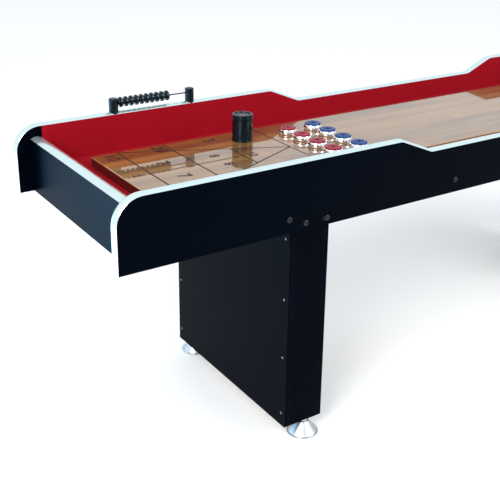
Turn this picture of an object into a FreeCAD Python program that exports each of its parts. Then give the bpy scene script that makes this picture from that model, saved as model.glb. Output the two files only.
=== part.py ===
import FreeCAD, Part
import math
import os
import Sketcher

# Shuffleboard table: a long trough-shaped cabinet on two box legs.
# X runs along the table, Y across it, Z up. The origin is on the floor, under the middle.
# The front is the -Y side, the left end is the -X end. All sizes are millimetres.

Vector = FreeCAD.Vector
Rotation = FreeCAD.Rotation
Placement = FreeCAD.Placement

doc = FreeCAD.newDocument("ShuffleboardTable")

# ---------------------------------------------------------------- driving sizes

DRIVING_SIZES = [
    ("overall_length", 2743.0, "cabinet, end to end"),
    ("overall_width", 670.0, "across the outer faces of the side panels"),
    ("foot_height", 50.0, "floor to the underside of a leg"),
    ("leg_drop", 620.0, "underside of a leg to the lower edge of the side panels"),
    ("panel_height", 188.0, "side panel at its raised ends, without the trim"),
    ("panel_thickness", 28.0, "side panels"),
    ("end_panel_thickness", 34.0, "end panels"),
    ("dip_depth", 47.0, "how far the middle of a side panel is lowered"),
    ("dip_half_length", 401.0, "middle of the table to the foot of the slope"),
    ("slope_run", 114.0, "length of the slope, measured along the table"),
    ("corner_radius", 70.0, "upper end corners of the side panels"),
    ("bend_radius", 35.0, "bends at the top and foot of each slope"),
    ("end_inset", 42.0, "end panel's outer face, in from the side panels' ends"),
    ("end_drop", 35.0, "end panel's top, below the raised side panels"),
    ("trim_crown", 6.0, "height of the rounded trim over the board's edge"),
    ("trim_stem_width", 2.4, "tongue of the trim that sits in the panel's groove"),
    ("trim_stem_depth", 9.0, "length of that tongue"),
    ("groove_clearance", 0.1, "around the tongue"),
    ("playfield_width", 418.0, "playing board"),
    ("playfield_thickness", 32.0, "playing board"),
    ("playfield_top", 105.0, "playing surface over the side panels' lower edge"),
    ("playfield_chamfer", 2.0, "eased upper edges of the board"),
    ("end_gutter", 100.0, "gap between the board's end and the end lining"),
    ("carpet_thickness", 4.0, "carpet on the gutter floor"),
    ("carpet_clearance", 0.5, "between the carpet and the board"),
    ("lining_thickness", 3.0, "felted lining on the inner walls"),
    ("floor_thickness", 18.0, "board that closes the cabinet underneath"),
    ("crossbeam_width", 36.0, "beams under the floor"),
    ("crossbeam_height", 32.0, "beams under the floor"),
    ("crossbeam_leg_gap", 4.75, "between a leg and the beam beside it"),
    ("leg_centre", 802.5, "middle of the table to the middle of a leg"),
    ("leg_length", 130.0, "leg, measured along the table"),
    ("leg_face_thickness", 15.0, "wide faces of a leg"),
    ("leg_side_thickness", 30.0, "narrow side boards of a leg"),
    ("leg_rail_thickness", 18.0, "cross rails inside a leg"),
    ("leg_clearance", 0.5, "between a leg and each side panel"),
    ("bolt_radius", 4.0, "bolt shank"),
    ("bolt_head_radius", 8.0, "domed bolt head"),
    ("bolt_head_height", 4.5, "domed bolt head"),
    ("bolt_length", 50.0, "under the head"),
    ("bolt_clearance", 0.25, "around a bolt shank"),
    ("leg_bolt_height", 20.0, "leg bolts over the side panels' lower edge"),
    ("leg_bolt_spread", 70.0, "between the two bolts of one leg side"),
    ("screw_radius", 2.0, "leg screw shank"),
    ("screw_head_radius", 3.5, "leg screw head"),
    ("screw_head_height", 2.0, "leg screw head"),
    ("screw_length", 40.0, "under the head"),
    ("screw_clearance", 0.15, "around a screw shank"),
    ("screw_inset", 16.5, "screws in from the narrow side of the leg"),
    ("screw_first_height", 41.0, "lowest screw over the underside of the leg"),
    ("screw_spacing", 181.0, "between one screw and the next"),
    ("leveller_radius", 46.5, "foot disc"),
    ("leveller_rim", 4.0, "thickness of the disc's rim"),
    ("leveller_cone_height", 40.0, "top of the foot's cone"),
    ("leveller_neck_radius", 13.0, "collar over the cone"),
    ("leveller_gap", 0.3, "between the collar and the leg at its stop"),
    ("leveller_inset", 18.5, "stud in from the narrow side of the leg"),
    ("leveller_offset", 15.0, "stud off the leg's middle, the front left one towards the table's middle"),
    ("leveller_travel", 20.0, "how far a foot can be screwed out"),
    ("stud_radius", 5.0, "threaded stud"),
    ("stud_length", 55.0, "stud over the underside of the leg"),
    ("stud_clearance", 0.05, "stud in its insert"),
    ("stud_bore_clearance", 1.5, "stud in the wood over the insert"),
    ("insert_radius", 9.0, "steel insert for the stud"),
    ("insert_length", 28.0, "steel insert for the stud"),
    ("scorer_centre", 939.0, "middle of the scorer, towards the left end"),
    ("scorer_span", 256.0, "between the scorer's two posts"),
    ("post_radius", 13.9, "scorer post"),
    ("post_height", 46.0, "scorer post over the panel's upper edge"),
    ("rod_height", 31.6, "scorer rod over the panel's upper edge"),
    ("rod_radius", 2.0, "scorer rod"),
    ("rod_seat", 8.0, "depth of the rod in each post"),
    ("bead_radius", 15.5, "scorer bead"),
    ("bead_hub_radius", 8.5, "ends of a scorer bead"),
    ("bead_rim_width", 6.4, "disc of a scorer bead at its rim"),
    ("bead_rim_flare", 2.0, "how far the disc widens towards its hub, each side"),
    ("bead_rim_rounding", 2.6, "rounded rim of the disc"),
    ("bead_length", 16.8, "scorer bead, along the rod"),
    ("bead_gap", 0.3, "between one bead and the next"),
    ("bead_clearance", 0.08, "between a bead and the rod"),
    ("puck_radius", 28.5, "puck"),
    ("puck_height", 16.0, "steel weight of a puck"),
    ("puck_bevel", 2.5, "rounded edges of the weight"),
    ("puck_recess_radius", 20.0, "recess that holds the cap"),
    ("puck_recess_depth", 4.0, "recess that holds the cap"),
    ("cap_radius", 25.5, "plastic cap of a puck"),
    ("cap_height", 5.0, "cap over the weight"),
    ("cap_dimple_radius", 4.0, "hollow in the middle of the cap"),
    ("cap_clearance", 0.05, "between the cap's plug and the recess"),
    ("puck_spacing", 76.2, "between the pucks of a row"),
    ("red_row", 580.0, "red pucks, towards the left end"),
    ("blue_row", 483.0, "blue pucks, towards the left end"),
    ("wax_film", 0.15, "wax between the board and what stands on it"),
    ("can_radius", 32.0, "wax can"),
    ("can_height", 69.0, "wax can to the underside of its lid"),
    ("can_wall", 1.5, "wax can"),
    ("can_neck_height", 6.0, "neck inside the lid"),
    ("can_neck_step", 2.0, "neck in from the can's side"),
    ("lid_height", 13.0, "lid"),
    ("lid_wall", 1.9, "side of the lid"),
    ("can_along", 737.5, "can, towards the left end"),
    ("can_across", 129.0, "can, towards the back"),
]

sheet = doc.addObject("Spreadsheet::Sheet", "Sizes")
for row, (alias, number, note) in enumerate(DRIVING_SIZES, start=1):
    sheet.set("A%d" % row, alias)
    sheet.set("B%d" % row, "%g" % number)
    sheet.set("C%d" % row, note)
    sheet.setAlias("B%d" % row, alias)
doc.recompute()


class Size:
    """A length that knows its present value and its formula in the sheet's names."""

    def __init__(self, number, formula):
        self.number = float(number)
        self.formula = formula

    def __add__(self, other):
        other = as_size(other)
        return Size(self.number + other.number, "(%s + %s)" % (self.formula, other.formula))

    def __sub__(self, other):
        other = as_size(other)
        return Size(self.number - other.number, "(%s - %s)" % (self.formula, other.formula))

    def __mul__(self, other):
        other = as_size(other)
        return Size(self.number * other.number, "(%s * %s)" % (self.formula, other.formula))

    def __truediv__(self, other):
        other = as_size(other)
        return Size(self.number / other.number, "(%s / %s)" % (self.formula, other.formula))

    def __neg__(self):
        return Size(-self.number, "(0 - %s)" % self.formula)


def as_size(value):
    """Plain numbers join in formulas as they are."""
    if isinstance(value, Size):
        return value
    return Size(value, "%g" % value if value >= 0 else "(%g)" % value)


def cell(alias):
    """A driving size from the sheet."""
    return Size(float(sheet.get(alias)), "Sizes.%s" % alias)


ZERO = as_size(0)

# ---------------------------------------------------------------- shared places

half_length = cell("overall_length") / 2
half_width = cell("overall_width") / 2
panel_thickness = cell("panel_thickness")
inner_half_width = half_width - panel_thickness
panel_bottom = cell("foot_height") + cell("leg_drop")
panel_top = panel_bottom + cell("panel_height")
panel_low = panel_top - cell("dip_depth")
dip_foot = cell("dip_half_length")
dip_crest = dip_foot + cell("slope_run")
end_outer = half_length - cell("end_inset")
end_inner = end_outer - cell("end_panel_thickness")
end_top = panel_top - cell("end_drop")

playfield_top = panel_bottom + cell("playfield_top")
playfield_bottom = playfield_top - cell("playfield_thickness")
lining = cell("lining_thickness")
playfield_half_length = end_inner - lining - cell("end_gutter")
playfield_half_width = cell("playfield_width") / 2
carpet_top = playfield_bottom + cell("carpet_thickness")
floor_bottom = playfield_bottom - cell("floor_thickness")
beam_bottom = floor_bottom - cell("crossbeam_height")
beam_middle = floor_bottom - cell("crossbeam_height") / 2

leg_bottom = cell("foot_height")
leg_top = floor_bottom
leg_half_width = inner_half_width - cell("leg_clearance")
leg_half_length = cell("leg_length") / 2
beam_half = cell("crossbeam_width") / 2
outer_beam = cell("leg_centre") + leg_half_length + cell("crossbeam_leg_gap") + beam_half
inner_beam = outer_beam / 3
beam_places = [-outer_beam, -inner_beam, inner_beam, outer_beam]
side_board_inner = leg_half_width - cell("leg_side_thickness")
side_board_half_length = leg_half_length - cell("leg_face_thickness")
leg_bolt_z = panel_bottom + cell("leg_bolt_height")
leg_bolt_offset = cell("leg_bolt_spread") / 2
leveller_y = leg_half_width - cell("leveller_inset")
screw_y = leg_half_width - cell("screw_inset")
SCREWS_PER_EDGE = 4
screw_heights = [leg_bottom + cell("screw_first_height") + cell("screw_spacing") * step
                 for step in range(SCREWS_PER_EDGE)]

rail_y = half_width - panel_thickness / 2
rod_z = panel_top + cell("rod_height")
post_half_span = cell("scorer_span") / 2
BEADS = 10
PUCKS_PER_ROW = 4

# ---------------------------------------------------------------- modelling helpers


def bind(thing, name, size):
    """Ties a property to its formula in the sheet."""
    thing.setExpression(name, size.formula)


def new_body(label):
    body = doc.addObject("PartDesign::Body", label)
    body.Label = label
    body.AllowCompound = True
    return body


def origin_plane(body, role):
    for feature in body.Origin.OriginFeatures:
        if feature.Role == role:
            return feature
    raise RuntimeError("no plane " + role)


def new_sketch(body, plane, offset):
    """A sketch on one of the body's own planes, moved along the plane's normal."""
    sketch = body.newObject("Sketcher::SketchObject", body.Label + "_sketch")
    sketch.AttachmentSupport = [(origin_plane(body, plane), "")]
    sketch.MapMode = "FlatFace"
    bind(sketch, "AttachmentOffset.Base.z", offset)
    return sketch


def fix_point(sketch, geometry, end, x, y):
    """Holds a point at its sheet-driven place."""
    for kind, size in (("DistanceX", x), ("DistanceY", y)):
        index = sketch.addConstraint(Sketcher.Constraint(kind, -1, 1, geometry, end, size.number))
        sketch.setExpression("Constraints[%d]" % index, size.formula)


def flat(x, y):
    return Vector(x.number, y.number, 0)


def corner_arc(before, corner, after, radius):
    """Tangent arc at a corner: its circle, its two ends and its turning sense."""
    toward_before = (before - corner).normalize()
    toward_after = (after - corner).normalize()
    opening = toward_before.getAngle(toward_after)
    reach = radius / math.tan(opening / 2)
    start = corner + toward_before * reach
    finish = corner + toward_after * reach
    middle = (toward_before + toward_after).normalize()
    centre = corner + middle * (radius / math.sin(opening / 2))
    turns_left = (corner - before).cross(after - corner).z > 0
    return centre, start, finish, turns_left


def draw_outline(sketch, corners, closed=True):
    """Lines between corners (x, y, radius); a corner with a radius becomes a tangent arc."""
    count = len(corners)
    points = [flat(x, y) for x, y, radius in corners]
    starts = list(points)
    finishes = list(points)
    arcs = {}
    for index, (x, y, radius) in enumerate(corners):
        if radius is None:
            continue
        centre, start, finish, turns_left = corner_arc(
            points[index - 1], points[index], points[(index + 1) % count], radius.number)
        starts[index] = start
        finishes[index] = finish
        arcs[index] = (centre, turns_left, radius)
    lines = {}
    for index in range(count if closed else count - 1):
        following = (index + 1) % count
        lines[index] = sketch.addGeometry(Part.LineSegment(finishes[index], starts[following]), False)
    for index, (x, y, radius) in enumerate(corners):
        before = (index - 1) % count
        has_before = before in lines and (closed or index > 0)
        if radius is None:
            if index in lines:
                fix_point(sketch, lines[index], 1, x, y)
            if has_before and index in lines:
                sketch.addConstraint(Sketcher.Constraint(
                    "Coincident", lines[before], 2, lines[index], 1))
            elif has_before:
                fix_point(sketch, lines[before], 2, x, y)
            continue
        centre, turns_left, radius = arcs[index]
        first = math.atan2(starts[index].y - centre.y, starts[index].x - centre.x)
        last = math.atan2(finishes[index].y - centre.y, finishes[index].x - centre.x)
        circle = Part.Circle(centre, Vector(0, 0, 1), radius.number)
        if turns_left:
            arc = sketch.addGeometry(Part.ArcOfCircle(circle, first, last), False)
            entry, leave = 1, 2
        else:
            arc = sketch.addGeometry(Part.ArcOfCircle(circle, last, first), False)
            entry, leave = 2, 1
        mark = sketch.addGeometry(Part.Point(points[index]), True)
        fix_point(sketch, mark, 1, x, y)
        sketch.addConstraint(Sketcher.Constraint("PointOnObject", mark, 1, lines[before]))
        sketch.addConstraint(Sketcher.Constraint("PointOnObject", mark, 1, lines[index]))
        sketch.addConstraint(Sketcher.Constraint("Tangent", lines[before], 2, arc, entry))
        sketch.addConstraint(Sketcher.Constraint("Tangent", arc, leave, lines[index], 1))
        index_radius = sketch.addConstraint(Sketcher.Constraint("Radius", arc, radius.number))
        sketch.setExpression("Constraints[%d]" % index_radius, radius.formula)


def rectangle(left, right, low, high):
    return [(left, low, None), (right, low, None), (right, high, None), (left, high, None)]


def slab(label, plane, low, high, outlines):
    """Pads closed outlines from low to high along the plane's own axis."""
    body = new_body(label)
    offset = -high if plane == "XZ_Plane" else low
    sketch = new_sketch(body, plane, offset)
    for corners in outlines:
        draw_outline(sketch, corners)
    pad = body.newObject("PartDesign::Pad", label + "_pad")
    pad.Profile = sketch
    bind(pad, "Length", high - low)
    return body


def cut_from(body, plane, low, high, draw):
    """Pockets what draw(sketch) puts in the sketch, from low to high."""
    doc.recompute()
    before = body.Shape.Volume
    offset = -low if plane == "XZ_Plane" else high
    sketch = new_sketch(body, plane, offset)
    draw(sketch)
    pocket = body.newObject("PartDesign::Pocket", body.Label + "_pocket")
    pocket.Profile = sketch
    bind(pocket, "Length", high - low)
    doc.recompute()
    if not body.Shape.Volume < before:
        raise RuntimeError("a cut missed " + body.Label)


def drill(body, plane, low, high, centres, radius):
    """Round holes at the given centres, from low to high."""
    def draw(sketch):
        for x, y in centres:
            hole = sketch.addGeometry(Part.Circle(flat(x, y), Vector(0, 0, 1), radius.number), False)
            fix_point(sketch, hole, 3, x, y)
            index = sketch.addConstraint(Sketcher.Constraint("Radius", hole, radius.number))
            sketch.setExpression("Constraints[%d]" % index, radius.formula)
    cut_from(body, plane, low, high, draw)


def turned(label, corners, axis="V_Axis"):
    """A turned piece: a half profile in the XZ plane, revolved about Z (or X)."""
    body = new_body(label)
    sketch = new_sketch(body, "XZ_Plane", ZERO)
    draw_outline(sketch, corners)
    turn = body.newObject("PartDesign::Revolution", label + "_turn")
    turn.Profile = sketch
    turn.ReferenceAxis = (sketch, [axis])
    turn.Angle = 360
    return body


def place(body, x, y, z):
    """Moves a piece to its sheet-driven place."""
    bind(body, "Placement.Base.x", x)
    bind(body, "Placement.Base.y", y)
    bind(body, "Placement.Base.z", z)


def group_of(label, pattern, placements):
    """One node made of separate, identical solids."""
    doc.recompute()
    group = doc.addObject("Part::Feature", label)
    group.Label = label
    copies = []
    for placement in placements:
        copy = pattern.Shape.copy()
        copy.Placement = placement
        copies.append(copy)
    group.Shape = Part.makeCompound(copies)
    group.Placement = Placement()
    return group


parts = []


def keep(body):
    parts.append(body)
    return body


# ---------------------------------------------------------------- side panels and their trim

corner = cell("corner_radius")
bend = cell("bend_radius")


def top_edge(left, right, end_radius):
    """Upper edge of a side, left to right, with the lowered middle."""
    return [
        (left, panel_top, end_radius),
        (-dip_crest, panel_top, bend),
        (-dip_foot, panel_low, bend),
        (dip_foot, panel_low, bend),
        (dip_crest, panel_top, bend),
        (right, panel_top, end_radius),
    ]


def trim_path(body):
    """Up one end, over the top edge and down the other end of a side panel."""
    path = new_sketch(body, "XZ_Plane", ZERO)
    corners = [(-half_length, panel_bottom, None)]
    corners += top_edge(-half_length, half_length, corner)
    corners += [(half_length, panel_bottom, None)]
    draw_outline(path, corners, closed=False)
    return path


def crown_arc(sketch, thickness, inwards, start, finish):
    """The rounded top of a board's trim, anticlockwise from start to finish."""
    half = thickness / 2
    crown = cell("trim_crown")
    radius = (half * half + crown * crown) / (crown * 2)
    centre = (start + finish) * 0.5 + inwards * (radius - crown).number
    first = math.atan2(start.y - centre.y, start.x - centre.x)
    last = math.atan2(finish.y - centre.y, finish.x - centre.x)
    circle = Part.Circle(centre, Vector(0, 0, 1), radius.number)
    arc = sketch.addGeometry(Part.ArcOfCircle(circle, first, last), False)
    index = sketch.addConstraint(Sketcher.Constraint("Radius", arc, radius.number))
    sketch.setExpression("Constraints[%d]" % index, radius.formula)
    return arc


def trim_profile(body, plane, offset, thickness, turned_left, base):
    """Crown and stem in one closed outline. The crown points to -x, or to +y of the sketch."""
    half = thickness / 2
    stem = cell("trim_stem_width") / 2
    depth = cell("trim_stem_depth")
    sketch = new_sketch(body, plane, offset)
    middle_x, middle_y = base

    def at(out, along):
        """A point by its distance outwards from the board and along its edge."""
        if turned_left:
            return (middle_x - out, middle_y + along)
        return (middle_x + along, middle_y + out)

    outline = [
        at(ZERO, -half), at(ZERO, -stem), at(-depth, -stem),
        at(-depth, stem), at(ZERO, stem), at(ZERO, half),
    ]
    lines = []
    for first, last in zip(outline, outline[1:]):
        lines.append(sketch.addGeometry(Part.LineSegment(flat(*first), flat(*last)), False))
    for line, (x, y) in zip(lines, outline):
        fix_point(sketch, line, 1, x, y)
    for line, following in zip(lines, lines[1:]):
        sketch.addConstraint(Sketcher.Constraint("Coincident", line, 2, following, 1))
    fix_point(sketch, lines[-1], 2, *outline[-1])
    inwards = Vector(1, 0, 0) if turned_left else Vector(0, -1, 0)
    arc = crown_arc(sketch, thickness, inwards, flat(*outline[-1]), flat(*outline[0]))
    sketch.addConstraint(Sketcher.Constraint("Coincident", arc, 1, lines[-1], 2))
    sketch.addConstraint(Sketcher.Constraint("Coincident", arc, 2, lines[0], 1))
    return sketch


def sweep(body, kind, profile, path):
    pipe = body.newObject(kind, body.Label + "_pipe")
    pipe.Profile = profile
    pipe.Spine = (path, [])
    pipe.Mode = "Standard"
    doc.recompute()
    return pipe


def side_panel(label, low, high):
    """A side panel with its trim groove and its bolt holes."""
    outline = [(half_length, panel_bottom, None), (-half_length, panel_bottom, None)]
    outline += top_edge(-half_length, half_length, corner)
    body = slab(label, "XZ_Plane", low, high, [outline])
    doc.recompute()
    before = body.Shape.Volume
    groove_half = cell("trim_stem_width") / 2 + cell("groove_clearance")
    groove_depth = cell("trim_stem_depth") + cell("groove_clearance")
    middle = (low + high) / 2
    profile = new_sketch(body, "XY_Plane", panel_bottom)
    draw_outline(profile, rectangle(-half_length, -half_length + groove_depth,
                                    -groove_half, groove_half))
    path = trim_path(body)
    bind(profile, "AttachmentOffset.Base.y", middle)
    bind(path, "AttachmentOffset.Base.z", -middle)
    sweep(body, "PartDesign::SubtractivePipe", profile, path)
    if not body.Shape.Volume < before:
        raise RuntimeError("the trim groove missed " + label)
    beam_bolts = [(place_x, beam_middle) for place_x in beam_places]
    leg_bolts = []
    for side in (-1, 1):
        for step in (-1, 1):
            leg_bolts.append((cell("leg_centre") * side + leg_bolt_offset * step, leg_bolt_z))
    drill(body, "XZ_Plane", low, high, beam_bolts + leg_bolts,
          cell("bolt_radius") + cell("bolt_clearance"))
    return keep(body)


def side_trim(label, low, high):
    """Rounded edging along a side panel's ends and top edge."""
    body = new_body(label)
    middle = (low + high) / 2
    profile = trim_profile(body, "XY_Plane", panel_bottom, panel_thickness, True,
                           (-half_length, middle))
    path = trim_path(body)
    bind(path, "AttachmentOffset.Base.z", -middle)
    sweep(body, "PartDesign::AdditivePipe", profile, path)
    return keep(body)


side_panel("front_side_panel", -half_width, -inner_half_width)
side_panel("back_side_panel", inner_half_width, half_width)
side_trim("front_side_trim", -half_width, -inner_half_width)
side_trim("back_side_trim", inner_half_width, half_width)

# ---------------------------------------------------------------- end panels and their trim


def end_panel(label, low, high):
    """An end panel with the groove for its trim."""
    body = slab(label, "YZ_Plane", low, high,
                [rectangle(-inner_half_width, inner_half_width, panel_bottom, end_top)])
    groove_half = cell("trim_stem_width") / 2 + cell("groove_clearance")
    groove_bottom = end_top - cell("trim_stem_depth") - cell("groove_clearance")
    middle = (low + high) / 2

    def draw(sketch):
        draw_outline(sketch, rectangle(middle - groove_half, middle + groove_half,
                                       -inner_half_width, inner_half_width))
    cut_from(body, "XY_Plane", groove_bottom, end_top, draw)
    return keep(body)


def end_trim(label, low, high):
    """Straight rounded edging on an end panel, from side panel to side panel."""
    body = new_body(label)
    profile = trim_profile(body, "XZ_Plane", -inner_half_width, cell("end_panel_thickness"), False,
                           ((low + high) / 2, end_top))
    pad = body.newObject("PartDesign::Pad", label + "_pad")
    pad.Profile = profile
    bind(pad, "Length", inner_half_width * 2)
    return keep(body)


end_panel("left_end_panel", -end_outer, -end_inner)
end_panel("right_end_panel", end_inner, end_outer)
end_trim("left_end_trim", -end_outer, -end_inner)
end_trim("right_end_trim", end_inner, end_outer)

# ---------------------------------------------------------------- floor, carpet and linings

keep(slab("cabinet_floor", "XY_Plane", floor_bottom, playfield_bottom,
          [rectangle(-end_inner, end_inner, -inner_half_width, inner_half_width)]))

carpet_hole_x = playfield_half_length + cell("carpet_clearance")
carpet_hole_y = playfield_half_width + cell("carpet_clearance")
keep(slab("gutter_carpet", "XY_Plane", playfield_bottom, carpet_top, [
    rectangle(-end_inner, end_inner, -inner_half_width, inner_half_width),
    rectangle(-carpet_hole_x, carpet_hole_x, -carpet_hole_y, carpet_hole_y)]))


def mirror_across(body, plane):
    """Adds the same solid on the other side of one of the body's planes."""
    first_side = body.Tip
    mirrored = body.newObject("PartDesign::Mirrored", body.Label + "_mirrored")
    mirrored.Originals = [first_side]
    mirrored.MirrorPlane = (origin_plane(body, plane), [""])
    body.Tip = mirrored
    return body


lining_outline = [(end_inner, carpet_top, None), (-end_inner, carpet_top, None)]
lining_outline += top_edge(-end_inner, end_inner, None)
keep(mirror_across(slab("side_linings", "XZ_Plane", -inner_half_width, -inner_half_width + lining,
                        [lining_outline]), "XZ_Plane"))
lining_half_width = inner_half_width - lining
keep(mirror_across(slab("end_linings", "YZ_Plane", -end_inner, -end_inner + lining,
                        [rectangle(-lining_half_width, lining_half_width, carpet_top, end_top)]),
                   "YZ_Plane"))

# ---------------------------------------------------------------- playing board and beams

playfield = slab("playfield", "XY_Plane", playfield_bottom, playfield_top,
                 [rectangle(-playfield_half_length, playfield_half_length,
                            -playfield_half_width, playfield_half_width)])
doc.recompute()
EDGE_TOLERANCE = 1e-3
upper_edges = []
for number, edge in enumerate(playfield.Shape.Edges, start=1):
    heights = [vertex.Z for vertex in edge.Vertexes]
    if min(heights) > playfield_top.number - EDGE_TOLERANCE:
        upper_edges.append("Edge%d" % number)
playfield_pad = playfield.Tip
chamfer = playfield.newObject("PartDesign::Chamfer", "playfield_chamfer")
chamfer.Base = (playfield_pad, upper_edges)
bind(chamfer, "Size", cell("playfield_chamfer"))
playfield.Tip = chamfer
keep(playfield)

crossbeams = slab("crossbeams", "XY_Plane", beam_bottom, floor_bottom,
                  [rectangle(x - beam_half, x + beam_half, -inner_half_width, inner_half_width)
                   for x in beam_places])
bolt_bite = cell("bolt_length") - panel_thickness
bolt_hole = cell("bolt_radius") + cell("bolt_clearance")
BOLT_END_ROOM = 2
for low, high in ((-inner_half_width, -inner_half_width + bolt_bite + BOLT_END_ROOM),
                  (inner_half_width - bolt_bite - BOLT_END_ROOM, inner_half_width)):
    drill(crossbeams, "XZ_Plane", low, high, [(x, beam_middle) for x in beam_places], bolt_hole)
keep(crossbeams)

# ---------------------------------------------------------------- bolts

HEAD_EDGE_SHARE = 0.25
HEAD_CROWN_SHARE = 0.6
bolt_edge = cell("bolt_head_height") * HEAD_EDGE_SHARE
bolt = turned("bolt_pattern", [
    (ZERO, -cell("bolt_length"), None),
    (cell("bolt_radius"), -cell("bolt_length"), None),
    (cell("bolt_radius"), ZERO, None),
    (cell("bolt_head_radius"), ZERO, None),
    (cell("bolt_head_radius"), bolt_edge, None),
    (cell("bolt_head_radius") * HEAD_CROWN_SHARE, cell("bolt_head_height"), None),
    (ZERO, cell("bolt_head_height"), None)])

bolt_placements = []
for side in (-1, 1):
    head_outwards = Rotation(Vector(1, 0, 0), -90 * side)
    outer_face = half_width.number * side
    places = [(x.number, beam_middle.number) for x in beam_places]
    for end in (-1, 1):
        for step in (-1, 1):
            places.append((cell("leg_centre").number * end + leg_bolt_offset.number * step,
                           leg_bolt_z.number))
    for x, z in places:
        bolt_placements.append(Placement(Vector(x, outer_face, z), head_outwards))
keep(group_of("frame_bolts", bolt, bolt_placements))

# ---------------------------------------------------------------- legs

SCREW_END_ROOM = 1
screw_hole = cell("screw_radius") + cell("screw_clearance")
screw_bite = cell("screw_length") - cell("leg_face_thickness") + SCREW_END_ROOM
stud_room = cell("stud_length") + cell("stud_bore_clearance")


def screw_centres(sides):
    """Screw places across (Y) and up (Z) on a wide face of a leg."""
    return [(screw_y * side, height) for side in sides for height in screw_heights]


def leg(name, centre):
    """One box leg: two wide faces, two side boards and two cross rails."""
    outwards = -1 if centre.number < 0 else 1
    for label, side in (("outer", outwards), ("inner", -outwards)):
        near = centre + side_board_half_length * side
        far = centre + leg_half_length * side
        low, high = (near, far) if side > 0 else (far, near)
        face = slab("%s_leg_%s_face" % (name, label), "YZ_Plane", low, high,
                    [rectangle(-leg_half_width, leg_half_width, leg_bottom, leg_top)])
        drill(face, "YZ_Plane", low, high, screw_centres((-1, 1)), screw_hole)
        keep(face)

    left = centre - side_board_half_length
    right = centre + side_board_half_length
    boards = slab("%s_leg_side_boards" % name, "XY_Plane", leg_bottom, leg_top, [
        rectangle(left, right, -leg_half_width, -side_board_inner),
        rectangle(left, right, side_board_inner, leg_half_width)])
    drill(boards, "YZ_Plane", left, left + screw_bite, screw_centres((-1, 1)), screw_hole)
    drill(boards, "YZ_Plane", right - screw_bite, right, screw_centres((-1, 1)), screw_hole)
    bolt_centres = [(centre + leg_bolt_offset * step, leg_bolt_z) for step in (-1, 1)]
    bolt_depth = bolt_bite + BOLT_END_ROOM
    drill(boards, "XZ_Plane", -leg_half_width, -leg_half_width + bolt_depth, bolt_centres, bolt_hole)
    drill(boards, "XZ_Plane", leg_half_width - bolt_depth, leg_half_width, bolt_centres, bolt_hole)
    stud_centres = [(centre - cell("leveller_offset") * side, leveller_y * side) for side in (-1, 1)]
    drill(boards, "XY_Plane", leg_bottom, leg_bottom + cell("insert_length"), stud_centres,
          cell("insert_radius"))
    drill(boards, "XY_Plane", leg_bottom + cell("insert_length"), leg_bottom + stud_room,
          stud_centres, cell("stud_radius") + cell("stud_bore_clearance"))
    keep(boards)

    rails = slab("%s_leg_rails" % name, "XZ_Plane", -side_board_inner, side_board_inner, [
        rectangle(left, right, leg_bottom, leg_bottom + cell("leg_rail_thickness")),
        rectangle(left, right, leg_top - cell("leg_rail_thickness"), leg_top)])
    keep(rails)


leg("left", -cell("leg_centre"))
leg("right", cell("leg_centre"))

SCREW_CROWN_SHARE = 0.7
screw = turned("screw_pattern", [
    (ZERO, -cell("screw_length"), None),
    (cell("screw_radius"), -cell("screw_length"), None),
    (cell("screw_radius"), ZERO, None),
    (cell("screw_head_radius"), ZERO, None),
    (cell("screw_head_radius"), cell("screw_head_height") / 2, None),
    (cell("screw_head_radius") * SCREW_CROWN_SHARE, cell("screw_head_height"), None),
    (ZERO, cell("screw_head_height"), None)])

screw_placements = []
for centre in (-cell("leg_centre").number, cell("leg_centre").number):
    for side in (-1, 1):
        head_outwards = Rotation(Vector(0, 1, 0), 90 * side)
        face_x = centre + leg_half_length.number * side
        for y, z in screw_centres((-1, 1)):
            screw_placements.append(Placement(Vector(face_x, y.number, z.number), head_outwards))
keep(group_of("leg_screws", screw, screw_placements))

# ---------------------------------------------------------------- levellers and their inserts

insert = turned("insert_pattern", [
    (cell("stud_radius") + cell("stud_clearance"), ZERO, None),
    (cell("insert_radius"), ZERO, None),
    (cell("insert_radius"), cell("insert_length"), None),
    (cell("stud_radius") + cell("stud_clearance"), cell("insert_length"), None)])

stud_spots = [
    (-cell("leg_centre") + cell("leveller_offset"), -leveller_y, "left_front"),
    (-cell("leg_centre") - cell("leveller_offset"), leveller_y, "left_back"),
    (cell("leg_centre") + cell("leveller_offset"), -leveller_y, "right_front"),
    (cell("leg_centre") - cell("leveller_offset"), leveller_y, "right_back"),
]
keep(group_of("leveller_inserts", insert,
              [Placement(Vector(x.number, y.number, leg_bottom.number), Rotation())
               for x, y, name in stud_spots]))

FOOT_EDGE = as_size(1)
CONE_SHOULDER = 2
collar_top = leg_bottom - cell("leveller_gap")
for x, y, name in stud_spots:
    leveller = turned("%s_leveller" % name, [
        (ZERO, ZERO, None),
        (cell("leveller_radius") - FOOT_EDGE, ZERO, None),
        (cell("leveller_radius"), FOOT_EDGE, None),
        (cell("leveller_radius"), cell("leveller_rim"), None),
        (cell("leveller_neck_radius") + CONE_SHOULDER, cell("leveller_cone_height"), None),
        (cell("leveller_neck_radius"), cell("leveller_cone_height"), None),
        (cell("leveller_neck_radius"), collar_top, None),
        (cell("stud_radius"), collar_top, None),
        (cell("stud_radius"), leg_bottom + cell("stud_length"), None),
        (ZERO, leg_bottom + cell("stud_length"), None)])
    place(leveller, x, y, ZERO)
    keep(leveller)

# ---------------------------------------------------------------- scorer

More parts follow.
